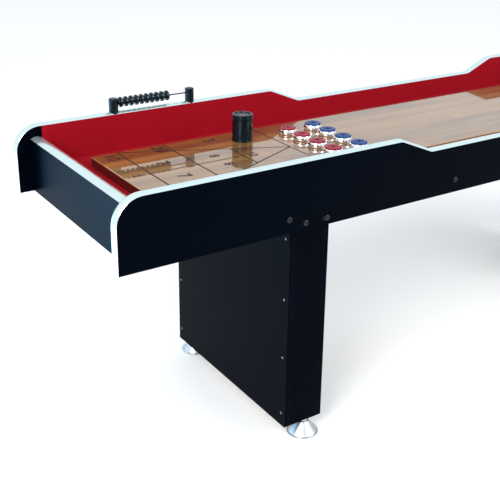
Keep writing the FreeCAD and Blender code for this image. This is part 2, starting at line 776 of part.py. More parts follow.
POST_DOME_HEIGHT = 2
POST_DOME_INSET = 3
POST_ROUNDING = as_size(1.5)
for side, name in ((-1, "left"), (1, "right")):
    post = turned("scorer_%s_post" % name, [
        (ZERO, ZERO, None),
        (cell("post_radius"), ZERO, None),
        (cell("post_radius"), cell("post_height") - POST_DOME_HEIGHT, POST_ROUNDING),
        (cell("post_radius") - POST_DOME_INSET, cell("post_height"), None),
        (ZERO, cell("post_height"), None)])

    def saddle(sketch):
        """The hollow that seats the post on the rounded trim."""
        half = panel_thickness / 2
        left = Vector(-half.number, 0, 0)
        right = Vector(half.number, 0, 0)
        arc = crown_arc(sketch, panel_thickness, Vector(0, -1, 0), right, left)
        chord = sketch.addGeometry(Part.LineSegment(left, right), False)
        fix_point(sketch, chord, 1, -half, ZERO)
        fix_point(sketch, chord, 2, half, ZERO)
        sketch.addConstraint(Sketcher.Constraint("Coincident", arc, 1, chord, 2))
        sketch.addConstraint(Sketcher.Constraint("Coincident", arc, 2, chord, 1))

    cut_from(post, "YZ_Plane", -cell("post_radius"), cell("post_radius"), saddle)
    seat = cell("post_radius") - cell("rod_seat")
    inner_side = -side
    low, high = (seat, cell("post_radius")) if inner_side > 0 else (-cell("post_radius"), -seat)
    drill(post, "YZ_Plane", low, high, [(ZERO, cell("rod_height"))], cell("rod_radius"))
    place(post, post_half_span * side - cell("scorer_centre"), rail_y, panel_top)
    keep(post)

rod_half = post_half_span - cell("post_radius") + cell("rod_seat")
rod = new_body("scorer_rod")
rod_sketch = new_sketch(rod, "YZ_Plane", -rod_half)
rod_circle = rod_sketch.addGeometry(
    Part.Circle(Vector(0, 0, 0), Vector(0, 0, 1), cell("rod_radius").number), False)
fix_point(rod_sketch, rod_circle, 3, ZERO, ZERO)
rod_size = rod_sketch.addConstraint(
    Sketcher.Constraint("Radius", rod_circle, cell("rod_radius").number))
rod_sketch.setExpression("Constraints[%d]" % rod_size, cell("rod_radius").formula)
rod_pad = rod.newObject("PartDesign::Pad", "scorer_rod_pad")
rod_pad.Profile = rod_sketch
bind(rod_pad, "Length", rod_half * 2)
place(rod, -cell("scorer_centre"), rail_y, rod_z)
keep(rod)

bead_half = cell("bead_length") / 2
bead_bore = cell("rod_radius") + cell("bead_clearance")
first_bead = (-cell("scorer_centre") - post_half_span + cell("post_radius")
              + cell("bead_gap") + bead_half)
bead_pitch = cell("bead_length") + cell("bead_gap")
rim_half = cell("bead_rim_width") / 2
rim_foot = rim_half + cell("bead_rim_flare")
for step in range(BEADS):
    bead = turned("scorer_bead_%02d" % (step + 1), [
        (-bead_half, bead_bore, None),
        (bead_half, bead_bore, None),
        (bead_half, cell("bead_hub_radius"), None),
        (rim_foot, cell("bead_hub_radius"), None),
        (rim_half, cell("bead_radius"), cell("bead_rim_rounding")),
        (-rim_half, cell("bead_radius"), cell("bead_rim_rounding")),
        (-rim_foot, cell("bead_hub_radius"), None),
        (-bead_half, cell("bead_hub_radius"), None)], axis="H_Axis")
    place(bead, first_bead + bead_pitch * step, rail_y, rod_z)
    keep(bead)

# ---------------------------------------------------------------- pucks

WEIGHT_ROUNDING = as_size(2)
CAP_EDGE_DROP = 1.5
CAP_EDGE_INSET = 4
CAP_ROUNDING = as_size(1)
bevel = cell("puck_bevel")
puck_z = playfield_top + cell("wax_film")
recess_floor = cell("puck_height") - cell("puck_recess_depth")
plug_radius = cell("puck_recess_radius") - cell("cap_clearance")
cap_top = cell("puck_height") + cell("cap_height")
for colour, row_x in (("red", -cell("red_row")), ("blue", -cell("blue_row"))):
    for step in range(PUCKS_PER_ROW):
        row_y = cell("puck_spacing") * ((PUCKS_PER_ROW - 1) / 2 - step)
        weight = turned("%s_puck_weight_%d" % (colour, step + 1), [
            (ZERO, ZERO, None),
            (cell("puck_radius") - bevel, ZERO, None),
            (cell("puck_radius"), bevel, WEIGHT_ROUNDING),
            (cell("puck_radius"), cell("puck_height") - bevel, WEIGHT_ROUNDING),
            (cell("puck_radius") - bevel, cell("puck_height"), None),
            (cell("puck_recess_radius"), cell("puck_height"), None),
            (cell("puck_recess_radius"), recess_floor, None),
            (ZERO, recess_floor, None)])
        place(weight, row_x, row_y, puck_z)
        keep(weight)
        cap = turned("%s_puck_cap_%d" % (colour, step + 1), [
            (ZERO, recess_floor, None),
            (plug_radius, recess_floor, None),
            (plug_radius, cell("puck_height"), None),
            (cell("cap_radius"), cell("puck_height"), None),
            (cell("cap_radius"), cap_top - CAP_EDGE_DROP, CAP_ROUNDING),
            (cell("cap_radius") - CAP_EDGE_INSET, cap_top, None),
            (cell("cap_dimple_radius"), cap_top, None),
            (cell("cap_dimple_radius"), cell("puck_height"), None),
            (ZERO, cell("puck_height"), None)])
        place(cap, row_x, row_y, puck_z)
        keep(cap)

# ---------------------------------------------------------------- wax can

CAN_EDGE = as_size(2)
can_radius = cell("can_radius")
neck_radius = can_radius - cell("can_neck_step")
can_inside = neck_radius - cell("can_wall")
can_height = cell("can_height")
can = turned("wax_can", [
    (ZERO, ZERO, None),
    (can_radius, ZERO, CAN_EDGE),
    (can_radius, can_height, None),
    (neck_radius, can_height, None),
    (neck_radius, can_height + cell("can_neck_height"), None),
    (can_inside, can_height + cell("can_neck_height"), None),
    (can_inside, cell("can_wall"), None),
    (ZERO, cell("can_wall"), None)])
place(can, -cell("can_along"), cell("can_across"), puck_z)
keep(can)

LID_STEP = 3
LID_ROUNDING = as_size(1)
LID_DISH = 2
LID_SEAM = as_size(0.1)
NECK_PLAY = 0.3
lid_inside = can_radius - cell("lid_wall")
neck_room = cell("can_neck_height") + NECK_PLAY
lid_top = cell("lid_height")
lid = turned("wax_can_lid", [
    (ZERO, neck_room, None),
    (lid_inside, neck_room, None),
    (lid_inside, LID_SEAM, None),
    (can_radius, LID_SEAM, None),
    (can_radius, lid_top - LID_STEP, LID_ROUNDING),
    (can_radius - LID_STEP, lid_top, LID_ROUNDING),
    (can_radius - LID_STEP * 2, lid_top, None),
    (can_radius - LID_STEP * 2, lid_top - LID_DISH, None),
    (ZERO, lid_top - LID_DISH, None)])
place(lid, -cell("can_along"), cell("can_across"), puck_z + can_height)
keep(lid)

# ---------------------------------------------------------------- checks and files

doc.recompute()
for thing in doc.Objects:
    if "Invalid" in thing.State or "Error" in thing.State:
        raise RuntimeError("%s failed: %s" % (thing.Label, thing.State))
for body in parts:
    if body.Shape.isNull() or not body.Shape.isValid() or not body.Shape.Solids:
        raise RuntimeError("%s has no sound solid" % body.Label)

os.makedirs("parts", exist_ok=True)
for body in parts:
    body.Shape.exportStep(os.path.join("parts", body.Label + ".step"))
    box = body.Shape.BoundBox
    print("%-24s solids %2d  X %8.1f %8.1f  Y %7.1f %7.1f  Z %7.1f %7.1f" % (
        body.Label, len(body.Shape.Solids), box.XMin, box.XMax, box.YMin, box.YMax, box.ZMin, box.ZMax))
print(len(parts), "nodes")
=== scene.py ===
"""Looks of a shuffleboard table, built around its fixed frame. Metres, X along the table, Z up."""

import math
import random

import bpy
from mathutils import Euler, Matrix, Vector


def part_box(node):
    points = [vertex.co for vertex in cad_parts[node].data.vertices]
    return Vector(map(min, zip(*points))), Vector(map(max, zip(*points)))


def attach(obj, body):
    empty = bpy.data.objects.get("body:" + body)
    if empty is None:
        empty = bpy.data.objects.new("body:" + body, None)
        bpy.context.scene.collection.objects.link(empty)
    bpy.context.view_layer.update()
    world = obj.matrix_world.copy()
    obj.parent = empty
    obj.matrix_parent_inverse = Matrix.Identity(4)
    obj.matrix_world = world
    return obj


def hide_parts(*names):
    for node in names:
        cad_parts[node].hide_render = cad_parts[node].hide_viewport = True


bl_info = {
    "name": "Shuffleboard Table",
    "version": (1, 0, 0),
    "blender": (4, 5, 0),
    "location": "3D View > Sidebar > Shuffleboard",
    "description": "Gives a shuffleboard table its surfaces, markings and small hardware",
    "category": "Object",
}

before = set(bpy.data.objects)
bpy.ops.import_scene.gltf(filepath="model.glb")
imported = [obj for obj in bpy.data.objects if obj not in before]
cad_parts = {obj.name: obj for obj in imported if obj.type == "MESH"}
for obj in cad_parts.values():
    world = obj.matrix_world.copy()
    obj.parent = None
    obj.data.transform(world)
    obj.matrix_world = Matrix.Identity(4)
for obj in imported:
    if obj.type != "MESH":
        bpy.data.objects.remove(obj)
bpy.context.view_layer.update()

BEADS = 10
PUCKS_PER_ROW = 4
FEET = ("left_front", "left_back", "right_front", "right_back")
SMOOTH_ANGLE = math.radians(32)
ON_AXIS = 1e-7

# -------- places read from the frame


def middle(node):
    """Middle of a node's box."""
    low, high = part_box(node)
    return (low + high) / 2


BOARD_LOW, BOARD_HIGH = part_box("playfield")
LEG_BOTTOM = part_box("left_leg_outer_face")[0].z

# -------- settings


def length(name, default, description):
    return bpy.props.FloatProperty(
        name=name, description=description, default=default, min=0, unit="LENGTH")


def colour_of(name, default, description):
    return bpy.props.FloatVectorProperty(
        name=name, description=description, default=default, min=0, max=1, subtype="COLOR")


def angle_in_degrees(name, degrees, description):
    return bpy.props.FloatProperty(
        name=name, description=description, default=math.radians(degrees), subtype="ANGLE")


def whole_number(name, default, description, least=3):
    return bpy.props.IntProperty(name=name, description=description, default=default, min=least)


class BoardSettings(bpy.types.PropertyGroup):
    """Playing board: its strips, its painted lines and its numbers."""

    strip_width: length("Strip width", 0.034, "Width of one glued strip of wood")
    strip_length: length("Strip length", 0.74, "Length of one strip before the next is butted on")
    honey: colour_of("Honey", (0.265, 0.132, 0.028), "Lighter strips of the board")
    amber: colour_of("Amber", (0.075, 0.028, 0.006), "Darker strips of the board")
    line_width: length("Line width", 0.0052, "Painted lines of the scoring zones")
    line_colour: colour_of("Line colour", (0.022, 0.010, 0.008), "Paint of the lines and numbers")
    foul_line: length("First line", 0.0785, "First cross line, in from the board's end")
    second_line: length("Second line", 0.2265, "Second cross line, in from the board's end")
    third_line: length("Third line", 0.3765, "Short line inside the triangle, in from the board's end")
    apex_line: length("Last line", 0.5405, "Line at the triangle's tip, in from the board's end")
    number_height: length("Number height", 0.036, "Height of the numbers in the zones")


class FinishSettings(bpy.types.PropertyGroup):
    """Colours of the cabinet, its trim, its felt and the puck caps."""

    laminate: colour_of("Laminate", (0.0003, 0.0009, 0.0028), "Dark laminate of cabinet and legs")
    laminate_sheen: colour_of("Laminate sheen", (0.46, 0.68, 0.86), "Light that glances off the laminate")
    trim: colour_of("Trim", (0.63, 0.78, 0.80), "Rounded edging of the panels")
    felt: colour_of("Felt", (0.275, 0.0018, 0.0085), "Lining and carpet")
    red_cap: colour_of("Red cap", (0.235, 0.008, 0.026), "Caps of the red pucks")
    blue_cap: colour_of("Blue cap", (0.003, 0.042, 0.175), "Caps of the blue pucks")


class HardwareSettings(bpy.types.PropertyGroup):
    """Screws, bolts, feet and the details of the puck caps."""

    screw_head_radius: length("Screw head", 0.0035, "Radius of a leg screw's head")
    screw_head_height: length("Screw head height", 0.002, "Height of a leg screw's head")
    bolt_head_radius: length("Bolt head", 0.008, "Radius of a frame bolt's domed head")
    bolt_head_height: length("Bolt head height", 0.0045, "Height of a frame bolt's head")
    fastener_seed: whole_number("Fastener seed", 7, "Which way the recesses of the heads point", 0)
    thread_pitch: length("Thread pitch", 0.0015, "Thread of the levelling feet")
    cap_scallops: whole_number("Cap notches", 6, "Shallow notches around a puck's cap")
    scallop_depth: length("Notch depth", 0.0030, "How deep the notches of a cap are")
    cap_marks: whole_number("Cap marks", 6, "Moulded marks around a cap's middle")


class StageSettings(bpy.types.PropertyGroup):
    """Camera, floor and surroundings."""

    camera_place: bpy.props.FloatVectorProperty(
        name="Camera place", description="Where the camera stands",
        default=(-2.16097, -2.08209, 1.60021), unit="LENGTH")
    camera_heading: angle_in_degrees("Heading", 34.92, "To the right from straight across the table")
    camera_tilt: angle_in_degrees("Tilt", 20.932, "Tilted down from level")
    camera_roll: angle_in_degrees("Roll", 1.261, "Rolled about its own axis")
    camera_lens: bpy.props.FloatProperty(
        name="Lens", description="Focal length for a 36 mm sensor, in millimetres", default=65.44)
    camera_shift: bpy.props.FloatVectorProperty(
        name="Shift", description="Lens shift across and up", size=2, default=(-0.0474, -0.1079))
    floor_colour: colour_of("Floor", (0.93, 0.94, 0.95), "Pale floor")
    sky_colour: colour_of("Surroundings", (0.94, 0.975, 1.0), "Colour of the light from all round")
    sky_strength: bpy.props.FloatProperty(
        name="Surroundings strength", description="Strength of the light from all round", default=1.0)


# -------- materials

IOR = 1.45
WORN_EDGE = 0.0022
EDGE_HIGHLIGHT_WIDTH = 0.0030
NOISE_LOW, NOISE_HIGH = 0.3, 0.7
COAT = dict(Coat_Weight=1.0, Coat_Roughness=0.012, Coat_IOR=2.05, Coat_Tint=(1.0, 0.93, 0.80))


class Tree:
    """A node tree that is being built."""

    def add(self, kind, feeds=None, **settings):
        """Adds a node: first its settings, then what feeds its inputs."""
        node = self.tree.nodes.new(kind)
        for name, value in settings.items():
            setattr(node, name, value)
        for name, value in (feeds or {}).items():
            self.feed(node.inputs[name], value)
        return node

    def feed(self, target, value):
        """Links a socket or a node's first output, or sets a plain value; colours have no alpha."""
        if isinstance(value, bpy.types.Node):
            value = value.outputs[0]
        if isinstance(value, bpy.types.NodeSocket):
            self.tree.links.new(value, target)
        elif target.type == "RGBA":
            target.default_value = (*value, 1.0)
        else:
            target.default_value = value


class Finish(Tree):
    """A node material, built step by step around one main shader."""

    def __init__(self, name):
        self.material = bpy.data.materials.new(name)
        self.material.use_nodes = True
        self.tree = self.material.node_tree
        self.tree.nodes.clear()
        self.shader = self.add("ShaderNodeBsdfPrincipled")
        self.add("ShaderNodeOutputMaterial", {"Surface": self.shader})
        self.place = self.add("ShaderNodeTexCoord").outputs["Object"]

    def done(self, colour, roughness, bump=None, **others):
        """Feeds the main shader, where an underscore stands for a space, and gives the material.

        bump is the height, its depth and its strength.
        """
        others.update(Base_Color=colour, Roughness=roughness)
        if bump:
            others["Normal"] = self.bump(*bump)
        for name, value in others.items():
            self.feed(self.shader.inputs[name.replace("_", " ")], value)
        return self.material

    def stretched(self, scales):
        """Object coordinates scaled by direction."""
        return self.add("ShaderNodeMapping", {"Vector": self.place, "Scale": scales})

    def noise(self, scale, detail=3.0, roughness=0.5, stretch=(), place=None):
        """Noise over the object coordinates, which may be stretched, or over another place."""
        place = self.stretched(stretch) if stretch else place or self.place
        return self.add("ShaderNodeTexNoise", {
            "Vector": place, "Scale": scale, "Detail": detail, "Roughness": roughness})

    def cells(self, scale, stretch, output):
        feeds = {"Vector": self.stretched(stretch), "Scale": scale}
        return self.add("ShaderNodeTexVoronoi", feeds, feature="F1").outputs[output]

    def spread(self, value, low, high, least=0.0, most=1.0):
        """Maps a value from one range to another, clamped."""
        return self.add("ShaderNodeMapRange", {
            "Value": value, "From Min": low, "From Max": high, "To Min": least, "To Max": most})

    def vary(self, noise, least, most):
        """Spreads the middle of a noise over a range."""
        return self.spread(noise, NOISE_LOW, NOISE_HIGH, least, most)

    def math(self, operation, first, second=0.0):
        return self.add("ShaderNodeMath", {0: first, 1: second}, operation=operation)

    def mix(self, factor, first, second):
        return self.add("ShaderNodeMix", {0: factor, 6: first, 7: second}, data_type="RGBA").outputs[2]

    def tones(self, factor, base, dark, light):
        """From a darker to a lighter share of one colour."""
        base = Vector(base)
        return self.mix(factor, base * dark, base * light)

    def parts(self, vector=None):
        """X, Y and Z of a vector, or of the object coordinates."""
        node = self.add("ShaderNodeSeparateXYZ", {"Vector": vector or self.place})
        return node.outputs["X"], node.outputs["Y"], node.outputs["Z"]

    def bump(self, height, depth, strength):
        return self.add("ShaderNodeBump", {"Distance": depth, "Strength": strength, "Height": height})

    def edges(self, low, high, width):
        """1 along the edges of a box, falling to 0 within width."""
        shifted = self.add("ShaderNodeVectorMath", {0: self.place, 1: (low + high) / 2},
                           operation="SUBTRACT")
        total = 0.0
        for axis, half in zip(self.parts(shifted), (high - low) / 2):
            closeness = self.spread(self.math("ABSOLUTE", axis), half - width, half)
            total = self.math("ADD", total, closeness)
        return self.spread(total, 1.0, 2.0)


def laminate(name, box_node=None):
    """Satin laminate with a fine pebbled press; edges rubbed lighter where a box is given."""
    colours = bpy.context.scene.shuffle_finish
    finish = Finish(name)
    cloud = finish.noise(5.0, 4.0)
    pebbles = finish.noise(900.0, 2.0)
    colour = finish.tones(cloud, colours.laminate, 0.75, 1.45)
    if box_node:
        worn = finish.edges(*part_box(box_node), WORN_EDGE)
        rubbed = finish.spread(finish.noise(38.0), 0.4, 0.65, 0.05, 0.5)
        colour = finish.mix(finish.math("MULTIPLY", worn, rubbed), colour, (0.014, 0.016, 0.022))
    return finish.done(
        colour, finish.spread(cloud, 0.25, 0.75, 0.27, 0.36), (pebbles, 0.00006, 0.5),
        Specular_Tint=colours.laminate_sheen, IOR=IOR, Specular_IOR_Level=0.02)


def silver_trim():
    """Glossy silver-white edging with a faint extrusion grain."""
    finish = Finish("silver_trim")
    cloud = finish.noise(9.0)
    scuffs = finish.noise(3.0, 4.0, 0.6, stretch=(4.0, 160.0, 160.0))
    colour = finish.tones(cloud, bpy.context.scene.shuffle_finish.trim, 0.96, 1.04)
    return finish.done(colour, finish.vary(scuffs, 0.14, 0.24), (scuffs, 0.00004, 0.4), Metallic=0.8, IOR=1.5)


def felt():
    """Short red pile, a little darker where it is pressed down."""
    base = Vector(bpy.context.scene.shuffle_finish.felt)
    finish = Finish("red_felt")
    patches = finish.noise(7.0, 5.0, 0.6)
    pile = finish.noise(1500.0, 2.0)
    fibres = finish.cells(700.0, (1.0, 1.0, 1.6), "Distance")
    tone = finish.tones(patches, base, 0.86, 1.1)
    colour = finish.mix(finish.vary(pile, 0.0, 0.35), tone, base * 0.55)
    height = finish.math("ADD", pile, finish.math("MULTIPLY", fibres, 0.6))
    return finish.done(
        colour, 0.95, (height, 0.0004, 0.45), IOR=1.3, Specular_IOR_Level=0.2,
        Sheen_Weight=0.05, Sheen_Roughness=0.5, Sheen_Tint=(0.9, 0.25, 0.3))


def board_wood():
    """Glued strips of honey-coloured wood under a thick clear coat; the end faces are painted near black as
    the shade the end panels cast on them, and the top edges carry a painted pale highlight.
    """
    board = bpy.context.scene.shuffle_board
    amber = Vector(board.amber)
    top = BOARD_HIGH.z
    finish = Finish("playfield_wood")
    strips = finish.add("ShaderNodeTexBrick", {
        "Vector": finish.place, "Scale": 1.0, "Bias": 0.0,
        "Mortar Size": 0.00035, "Mortar Smooth": 0.3,
        "Brick Width": board.strip_length, "Row Height": board.strip_width,
        "Color1": board.honey, "Color2": board.amber, "Mortar": amber * 0.35,
    }, offset=0.37, offset_frequency=2)
    grain = finish.noise(5.0, 8.0, 0.62, stretch=(0.9, 26.0, 26.0))
    veins = finish.noise(4.0, 5.0, 0.6, stretch=(1.6, 150.0, 150.0))
    blotches = finish.noise(2.0, stretch=(2.0, 5.0, 5.0))
    ripple = finish.noise(6.0, 1.0)
    colour = finish.mix(finish.spread(blotches, 0.35, 0.65, 0.0, 0.45), strips, board.honey)
    colour = finish.mix(finish.spread(grain, 0.42, 0.72, 0.0, 0.5), colour, amber * 0.75)
    colour = finish.mix(finish.spread(veins, 0.55, 0.8, 0.0, 0.4), colour, amber * 0.45)
    along, _, up = finish.parts()
    # painted shade: the board's end faces, below the top edge, are darkened as if in the end panels' shadow
    shaded_end_face = finish.spread(
        finish.math("ABSOLUTE", along), BOARD_HIGH.x - 0.0012, BOARD_HIGH.x - 0.0002)
    below_edge = finish.spread(up, top - 0.0032, top - 0.0016, 1.0, 0.0)
    colour = finish.mix(finish.math("MULTIPLY", shaded_end_face, below_edge), colour, (0.022, 0.006, 0.003))
    # painted highlight: a pale band along the board's top edges stands in for light caught by a rounded edge
    near_top_edges = finish.edges(BOARD_LOW, BOARD_HIGH, EDGE_HIGHLIGHT_WIDTH)
    rim = finish.math("MULTIPLY", near_top_edges, finish.spread(up, top - 0.004, top - 0.0024, 0.0, 0.75))
    colour = finish.mix(rim, colour, (0.62, 0.42, 0.24))
    return finish.done(
        colour, finish.vary(grain, 0.32, 0.45), (grain, 0.00005, 0.3), IOR=IOR,
        Coat_Normal=finish.bump(ripple, 0.0003, 0.12), **COAT)


def board_paint():
    """Dark paint on the board, thinner in places so that it looks paler."""
    finish = Finish("board_paint")
    thin = finish.noise(4.0, 4.0, 0.7, stretch=(60.0, 60.0, 1.0))
    colour = finish.tones(finish.spread(thin, 0.5, 0.8, 0.0, 0.5),
                          bpy.context.scene.shuffle_board.line_colour, 1.0, 3.0)
    return finish.done(colour, 0.45, (thin, 0.00002, 0.3), IOR=1.4, Specular_IOR_Level=0.25)


def plain_board():
    """Raw pressed board of the parts that stay out of sight."""
    finish = Finish("plain_board")
    chips = finish.cells(260.0, (1.0, 1.6, 2.2), "Color")
    chip_tone = finish.parts(chips)[0]
    cloud = finish.noise(12.0, 4.0)
    colour = finish.mix(chip_tone, (0.36, 0.25, 0.15), (0.56, 0.43, 0.28))
    colour = finish.mix(finish.spread(cloud, 0.35, 0.7, 0.0, 0.3), colour, (0.25, 0.17, 0.10))
    return finish.done(colour, 0.85, (chip_tone, 0.0002, 0.4))


def spun_steel(name, centres):
    """Bright steel turned on a lathe: fine rings around the nearest of some upright axes."""
    finish = Finish(name)
    along, across, up = finish.parts()
    nearest = None
    for x, y in centres:
        squares = []
        for place, centre in ((along, x), (across, y)):
            away = finish.math("SUBTRACT", place, centre)
            squares.append(finish.math("MULTIPLY", away, away))
        square = finish.math("ADD", *squares)
        nearest = finish.math("MINIMUM", nearest, square) if nearest else square
    ring_place = finish.add("ShaderNodeCombineXYZ", {
        "X": finish.math("SQRT", nearest), "Y": finish.math("MULTIPLY", up, 0.6)})
    rings = finish.noise(1600.0, 3.0, 0.7, place=ring_place)
    stains = finish.noise(45.0, 4.0)
    colour = finish.mix(stains, (0.52, 0.56, 0.60), (0.66, 0.69, 0.72))
    return finish.done(colour, finish.vary(rings, 0.28, 0.4), (rings, 0.00003, 0.5), Metallic=1.0)


def bright_steel(name, shade=1.0):
    """Drawn or plated steel of small hardware; a lower shade is a duller plating."""
    finish = Finish(name)
    stains = finish.noise(90.0, 4.0)
    drawn = finish.noise(3.0, stretch=(6.0, 900.0, 900.0))
    colour = finish.mix(stains, Vector((0.62, 0.64, 0.67)) * shade, Vector((0.80, 0.82, 0.84)) * shade)
    return finish.done(colour, finish.vary(drawn, 0.18, 0.32), (drawn, 0.00002, 0.4), Metallic=1.0)


def black_steel(name="black_steel"):
    """Blackened steel of the rod and the bolts, rubbed brighter in spots."""
    finish = Finish(name)
    rubbed = finish.noise(260.0, 4.0, 0.6)
    colour = finish.mix(finish.spread(rubbed, 0.5, 0.75, 0.0, 0.6),
                        (0.008, 0.010, 0.016), (0.030, 0.034, 0.042))
    return finish.done(colour, finish.vary(rubbed, 0.30, 0.45), (rubbed, 0.00005, 0.4), Metallic=0.6)


def black_gloss(name, roughness, shine=0.3):
    """Black moulded plastic with a soft moulding ripple."""
    finish = Finish(name)
    ripple = finish.noise(70.0)
    dust = finish.noise(520.0, 2.0)
    colour = finish.mix(finish.spread(dust, 0.55, 0.8, 0.0, 0.35),
                        (0.0022, 0.0040, 0.0070), (0.008, 0.012, 0.018))
    return finish.done(
        colour, finish.vary(ripple, roughness * 0.8, roughness * 1.25), (ripple, 0.00008, 0.3),
        IOR=IOR, Specular_IOR_Level=shine, Specular_Tint=(0.6, 0.82, 1.0))


def chrome():
    """Polished plating with the faintest handling haze."""
    finish = Finish("chrome_steel")
    haze = finish.noise(130.0, 4.0)
    colour = finish.mix(haze, (0.86, 0.88, 0.91), (0.93, 0.94, 0.95))
    return finish.done(
        colour, finish.spread(haze, 0.4, 0.75, 0.08, 0.16), (haze, 0.00002, 0.25), Metallic=1.0)


def cap_plastic(name, colour):
    """Glossy moulded plastic of the puck caps with a few pale specks."""
    finish = Finish(name)
    cloud = finish.noise(120.0)
    specks = finish.noise(900.0, 2.0)
    tone = finish.tones(cloud, colour, 0.82, 1.18)
    tone = finish.mix(finish.spread(specks, 0.66, 0.8, 0.0, 0.25), tone, (0.6, 0.6, 0.62))
    return finish.done(tone, finish.vary(cloud, 0.25, 0.4), (specks, 0.00003, 0.4),
                       IOR=IOR, Specular_IOR_Level=0.3)


def pale_floor():
    """Even, pale studio floor."""
    finish = Finish("pale_floor")
    cloud = finish.noise(0.6, 2.0)
    return finish.done(finish.tones(cloud, bpy.context.scene.shuffle_stage.floor_colour, 0.99, 1.0), 0.9)


def paint_nodes(material, *names):
    """Gives nodes of the frame their finish."""
    for name in names:
        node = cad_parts[name]
        node.data.materials.clear()
        node.data.materials.append(material)


# -------- mesh helpers


def built_mesh(name, vertices, faces=(), edges=()):
    mesh = bpy.data.meshes.new(name)
    mesh.from_pydata(vertices, edges, faces)
    mesh.validate()
    return mesh


def new_piece(name, mesh, material=None):
    piece = bpy.data.objects.new(name, mesh)
    bpy.context.scene.collection.objects.link(piece)
    if material:
        mesh.materials.append(material)
    return piece


def baked(holder):
    """The finished mesh of a helper object, which is then removed."""
    evaluated = holder.evaluated_get(bpy.context.evaluated_depsgraph_get())
    mesh = bpy.data.meshes.new_from_object(evaluated)
    bpy.data.objects.remove(holder)
    return mesh


def soften(mesh):
    """Smooth shading with crisp edges where the surface turns sharply."""
    mesh.shade_smooth()
    mesh.set_sharp_from_angle(angle=SMOOTH_ANGLE)


def circle_points(centre, reach, level, segments):
    """A level ring of points; reach is a radius, or gives one for an angle."""
    points = []
    for step in range(segments):
        angle = 2 * math.pi * step / segments
        radius = reach(angle) if callable(reach) else reach
        points.append((centre[0] + radius * math.cos(angle), centre[1] + radius * math.sin(angle), level))
    return points


def skinned(name, rings):
    """A mesh over rings of points, from the lowest up; a ring of one point closes an end."""
    vertices, faces, indices = [], [], []
    for ring in rings:
        indices.append(range(len(vertices), len(vertices) + len(ring)))
        vertices += ring
    for lower, upper in zip(indices, indices[1:]):
        segments = max(len(lower), len(upper))
        for step in range(segments):
            following = (step + 1) % segments
            if len(lower) == 1:
                faces.append((lower[0], upper[following], upper[step]))
            elif len(upper) == 1:
                faces.append((lower[step], lower[following], upper[0]))
            else:
                faces.append((lower[step], lower[following], upper[following], upper[step]))
    return built_mesh(name, vertices, faces)


def rounded_outline(corners, steps):
    """Half outline: corners of (from the axis, height, rounding), rounded by arcs of short steps."""
    points = []
    for index, (radius, height, rounding) in enumerate(corners):
        here = Vector((radius, height))
        if not rounding:
            points.append(here)
            continue
        before = (Vector(corners[index - 1][:2]) - here).normalized()
        after = (Vector(corners[index + 1][:2]) - here).normalized()
        half_opening = before.angle(after) / 2
        reach = rounding / math.tan(half_opening)
        centre = (before + after).normalized() * (rounding / math.sin(half_opening))
        for step in range(steps + 1):
            spoke = (before * reach - centre).lerp(after * reach - centre, step / steps)
            points.append(here + centre + spoke.normalized() * rounding)
    return points


def turned(name, corners, centre, material, segments, steps=3, reach_at=None):
    """A lathe-turned piece about an upright axis. reach_at(angle, radius) may vary the radius."""
    rings = []
    for radius, height in rounded_outline(corners, steps):
        if radius < ON_AXIS:
            rings.append([(centre[0], centre[1], height)])
        elif reach_at:
            rings.append(circle_points(
                centre, lambda angle, radius=radius: reach_at(angle, radius), height, segments))
        else:
            rings.append(circle_points(centre, radius, height, segments))
    mesh = skinned(name, rings)
    soften(mesh)
    return new_piece(name, mesh, material)


def bar(vertices, faces, start, finish, width, low, high):
    """Adds a flat bar between two points to lists of vertices and faces."""
    start, finish = Vector(start), Vector(finish)
    along = (finish - start).normalized()
    side = Vector((-along.y, along.x)) * (width / 2)
    first = len(vertices)
    for level in (low, high):
        for corner in (start - side, finish - side, finish + side, start + side):
            vertices.append((corner.x, corner.y, level))
    faces.append((first + 3, first + 2, first + 1, first))
    faces.append((first + 4, first + 5, first + 6, first + 7))
    for step in range(4):
        following = (step + 1) % 4
        faces.append((first + step, first + following, first + 4 + following, first + 4 + step))


NUMBER_BOLDNESS = 0.04
DIGIT_SHARE = 0.7


def text_mesh(text, height, thickness, place, turn):
    """A number as a thin solid, standing on its place in the frame."""
    curve = bpy.data.curves.new("number", "FONT")
    curve.body = text
    curve.align_x = curve.align_y = "CENTER"
    curve.size = height / DIGIT_SHARE
    curve.extrude = thickness / 2
    curve.offset = height * NUMBER_BOLDNESS
    curve.resolution_u = 4
    mesh = baked(new_piece("number", curve))
    mesh.transform(Matrix.Translation(place) @ Matrix.Rotation(turn, 4, "Z"))
    bpy.data.curves.remove(curve)
    return mesh


def joined(name, meshes, material):
    """One piece made of several meshes."""
    vertices, faces = [], []
    for mesh in meshes:
        first = len(vertices)
        vertices += [tuple(vertex.co) for vertex in mesh.vertices]
        faces += [tuple(first + index for index in face.vertices) for face in mesh.polygons]
        bpy.data.meshes.remove(mesh)
    return new_piece(name, built_mesh(name, vertices, faces), material)


# -------- geometry node trees


class Nodes(Tree):
    """A geometry node tree with named inputs."""

    def __init__(self, name):
        self.tree = bpy.data.node_groups.new(name, "GeometryNodeTree")
        for way in ("INPUT", "OUTPUT"):
            self.tree.interface.new_socket(name="Geometry", in_out=way, socket_type="NodeSocketGeometry")
        self.entry = self.add("NodeGroupInput")

    def input(self, name, kind, default=None):
        """Adds a named input and gives the socket that carries it."""
        socket = self.tree.interface.new_socket(name=name, in_out="INPUT", socket_type="NodeSocket" + kind)
        if default is not None:
            socket.default_value = default
        return self.entry.outputs[name]

    def close(self, geometry, material):
        """Ends the tree: instances become real and take their material."""
        real = self.add("GeometryNodeRealizeInstances", {"Geometry": geometry})
        paint = self.add("GeometryNodeSetMaterial", {"Geometry": real, "Material": material})
        self.add("NodeGroupOutput", {"Geometry": paint})
        return self.tree


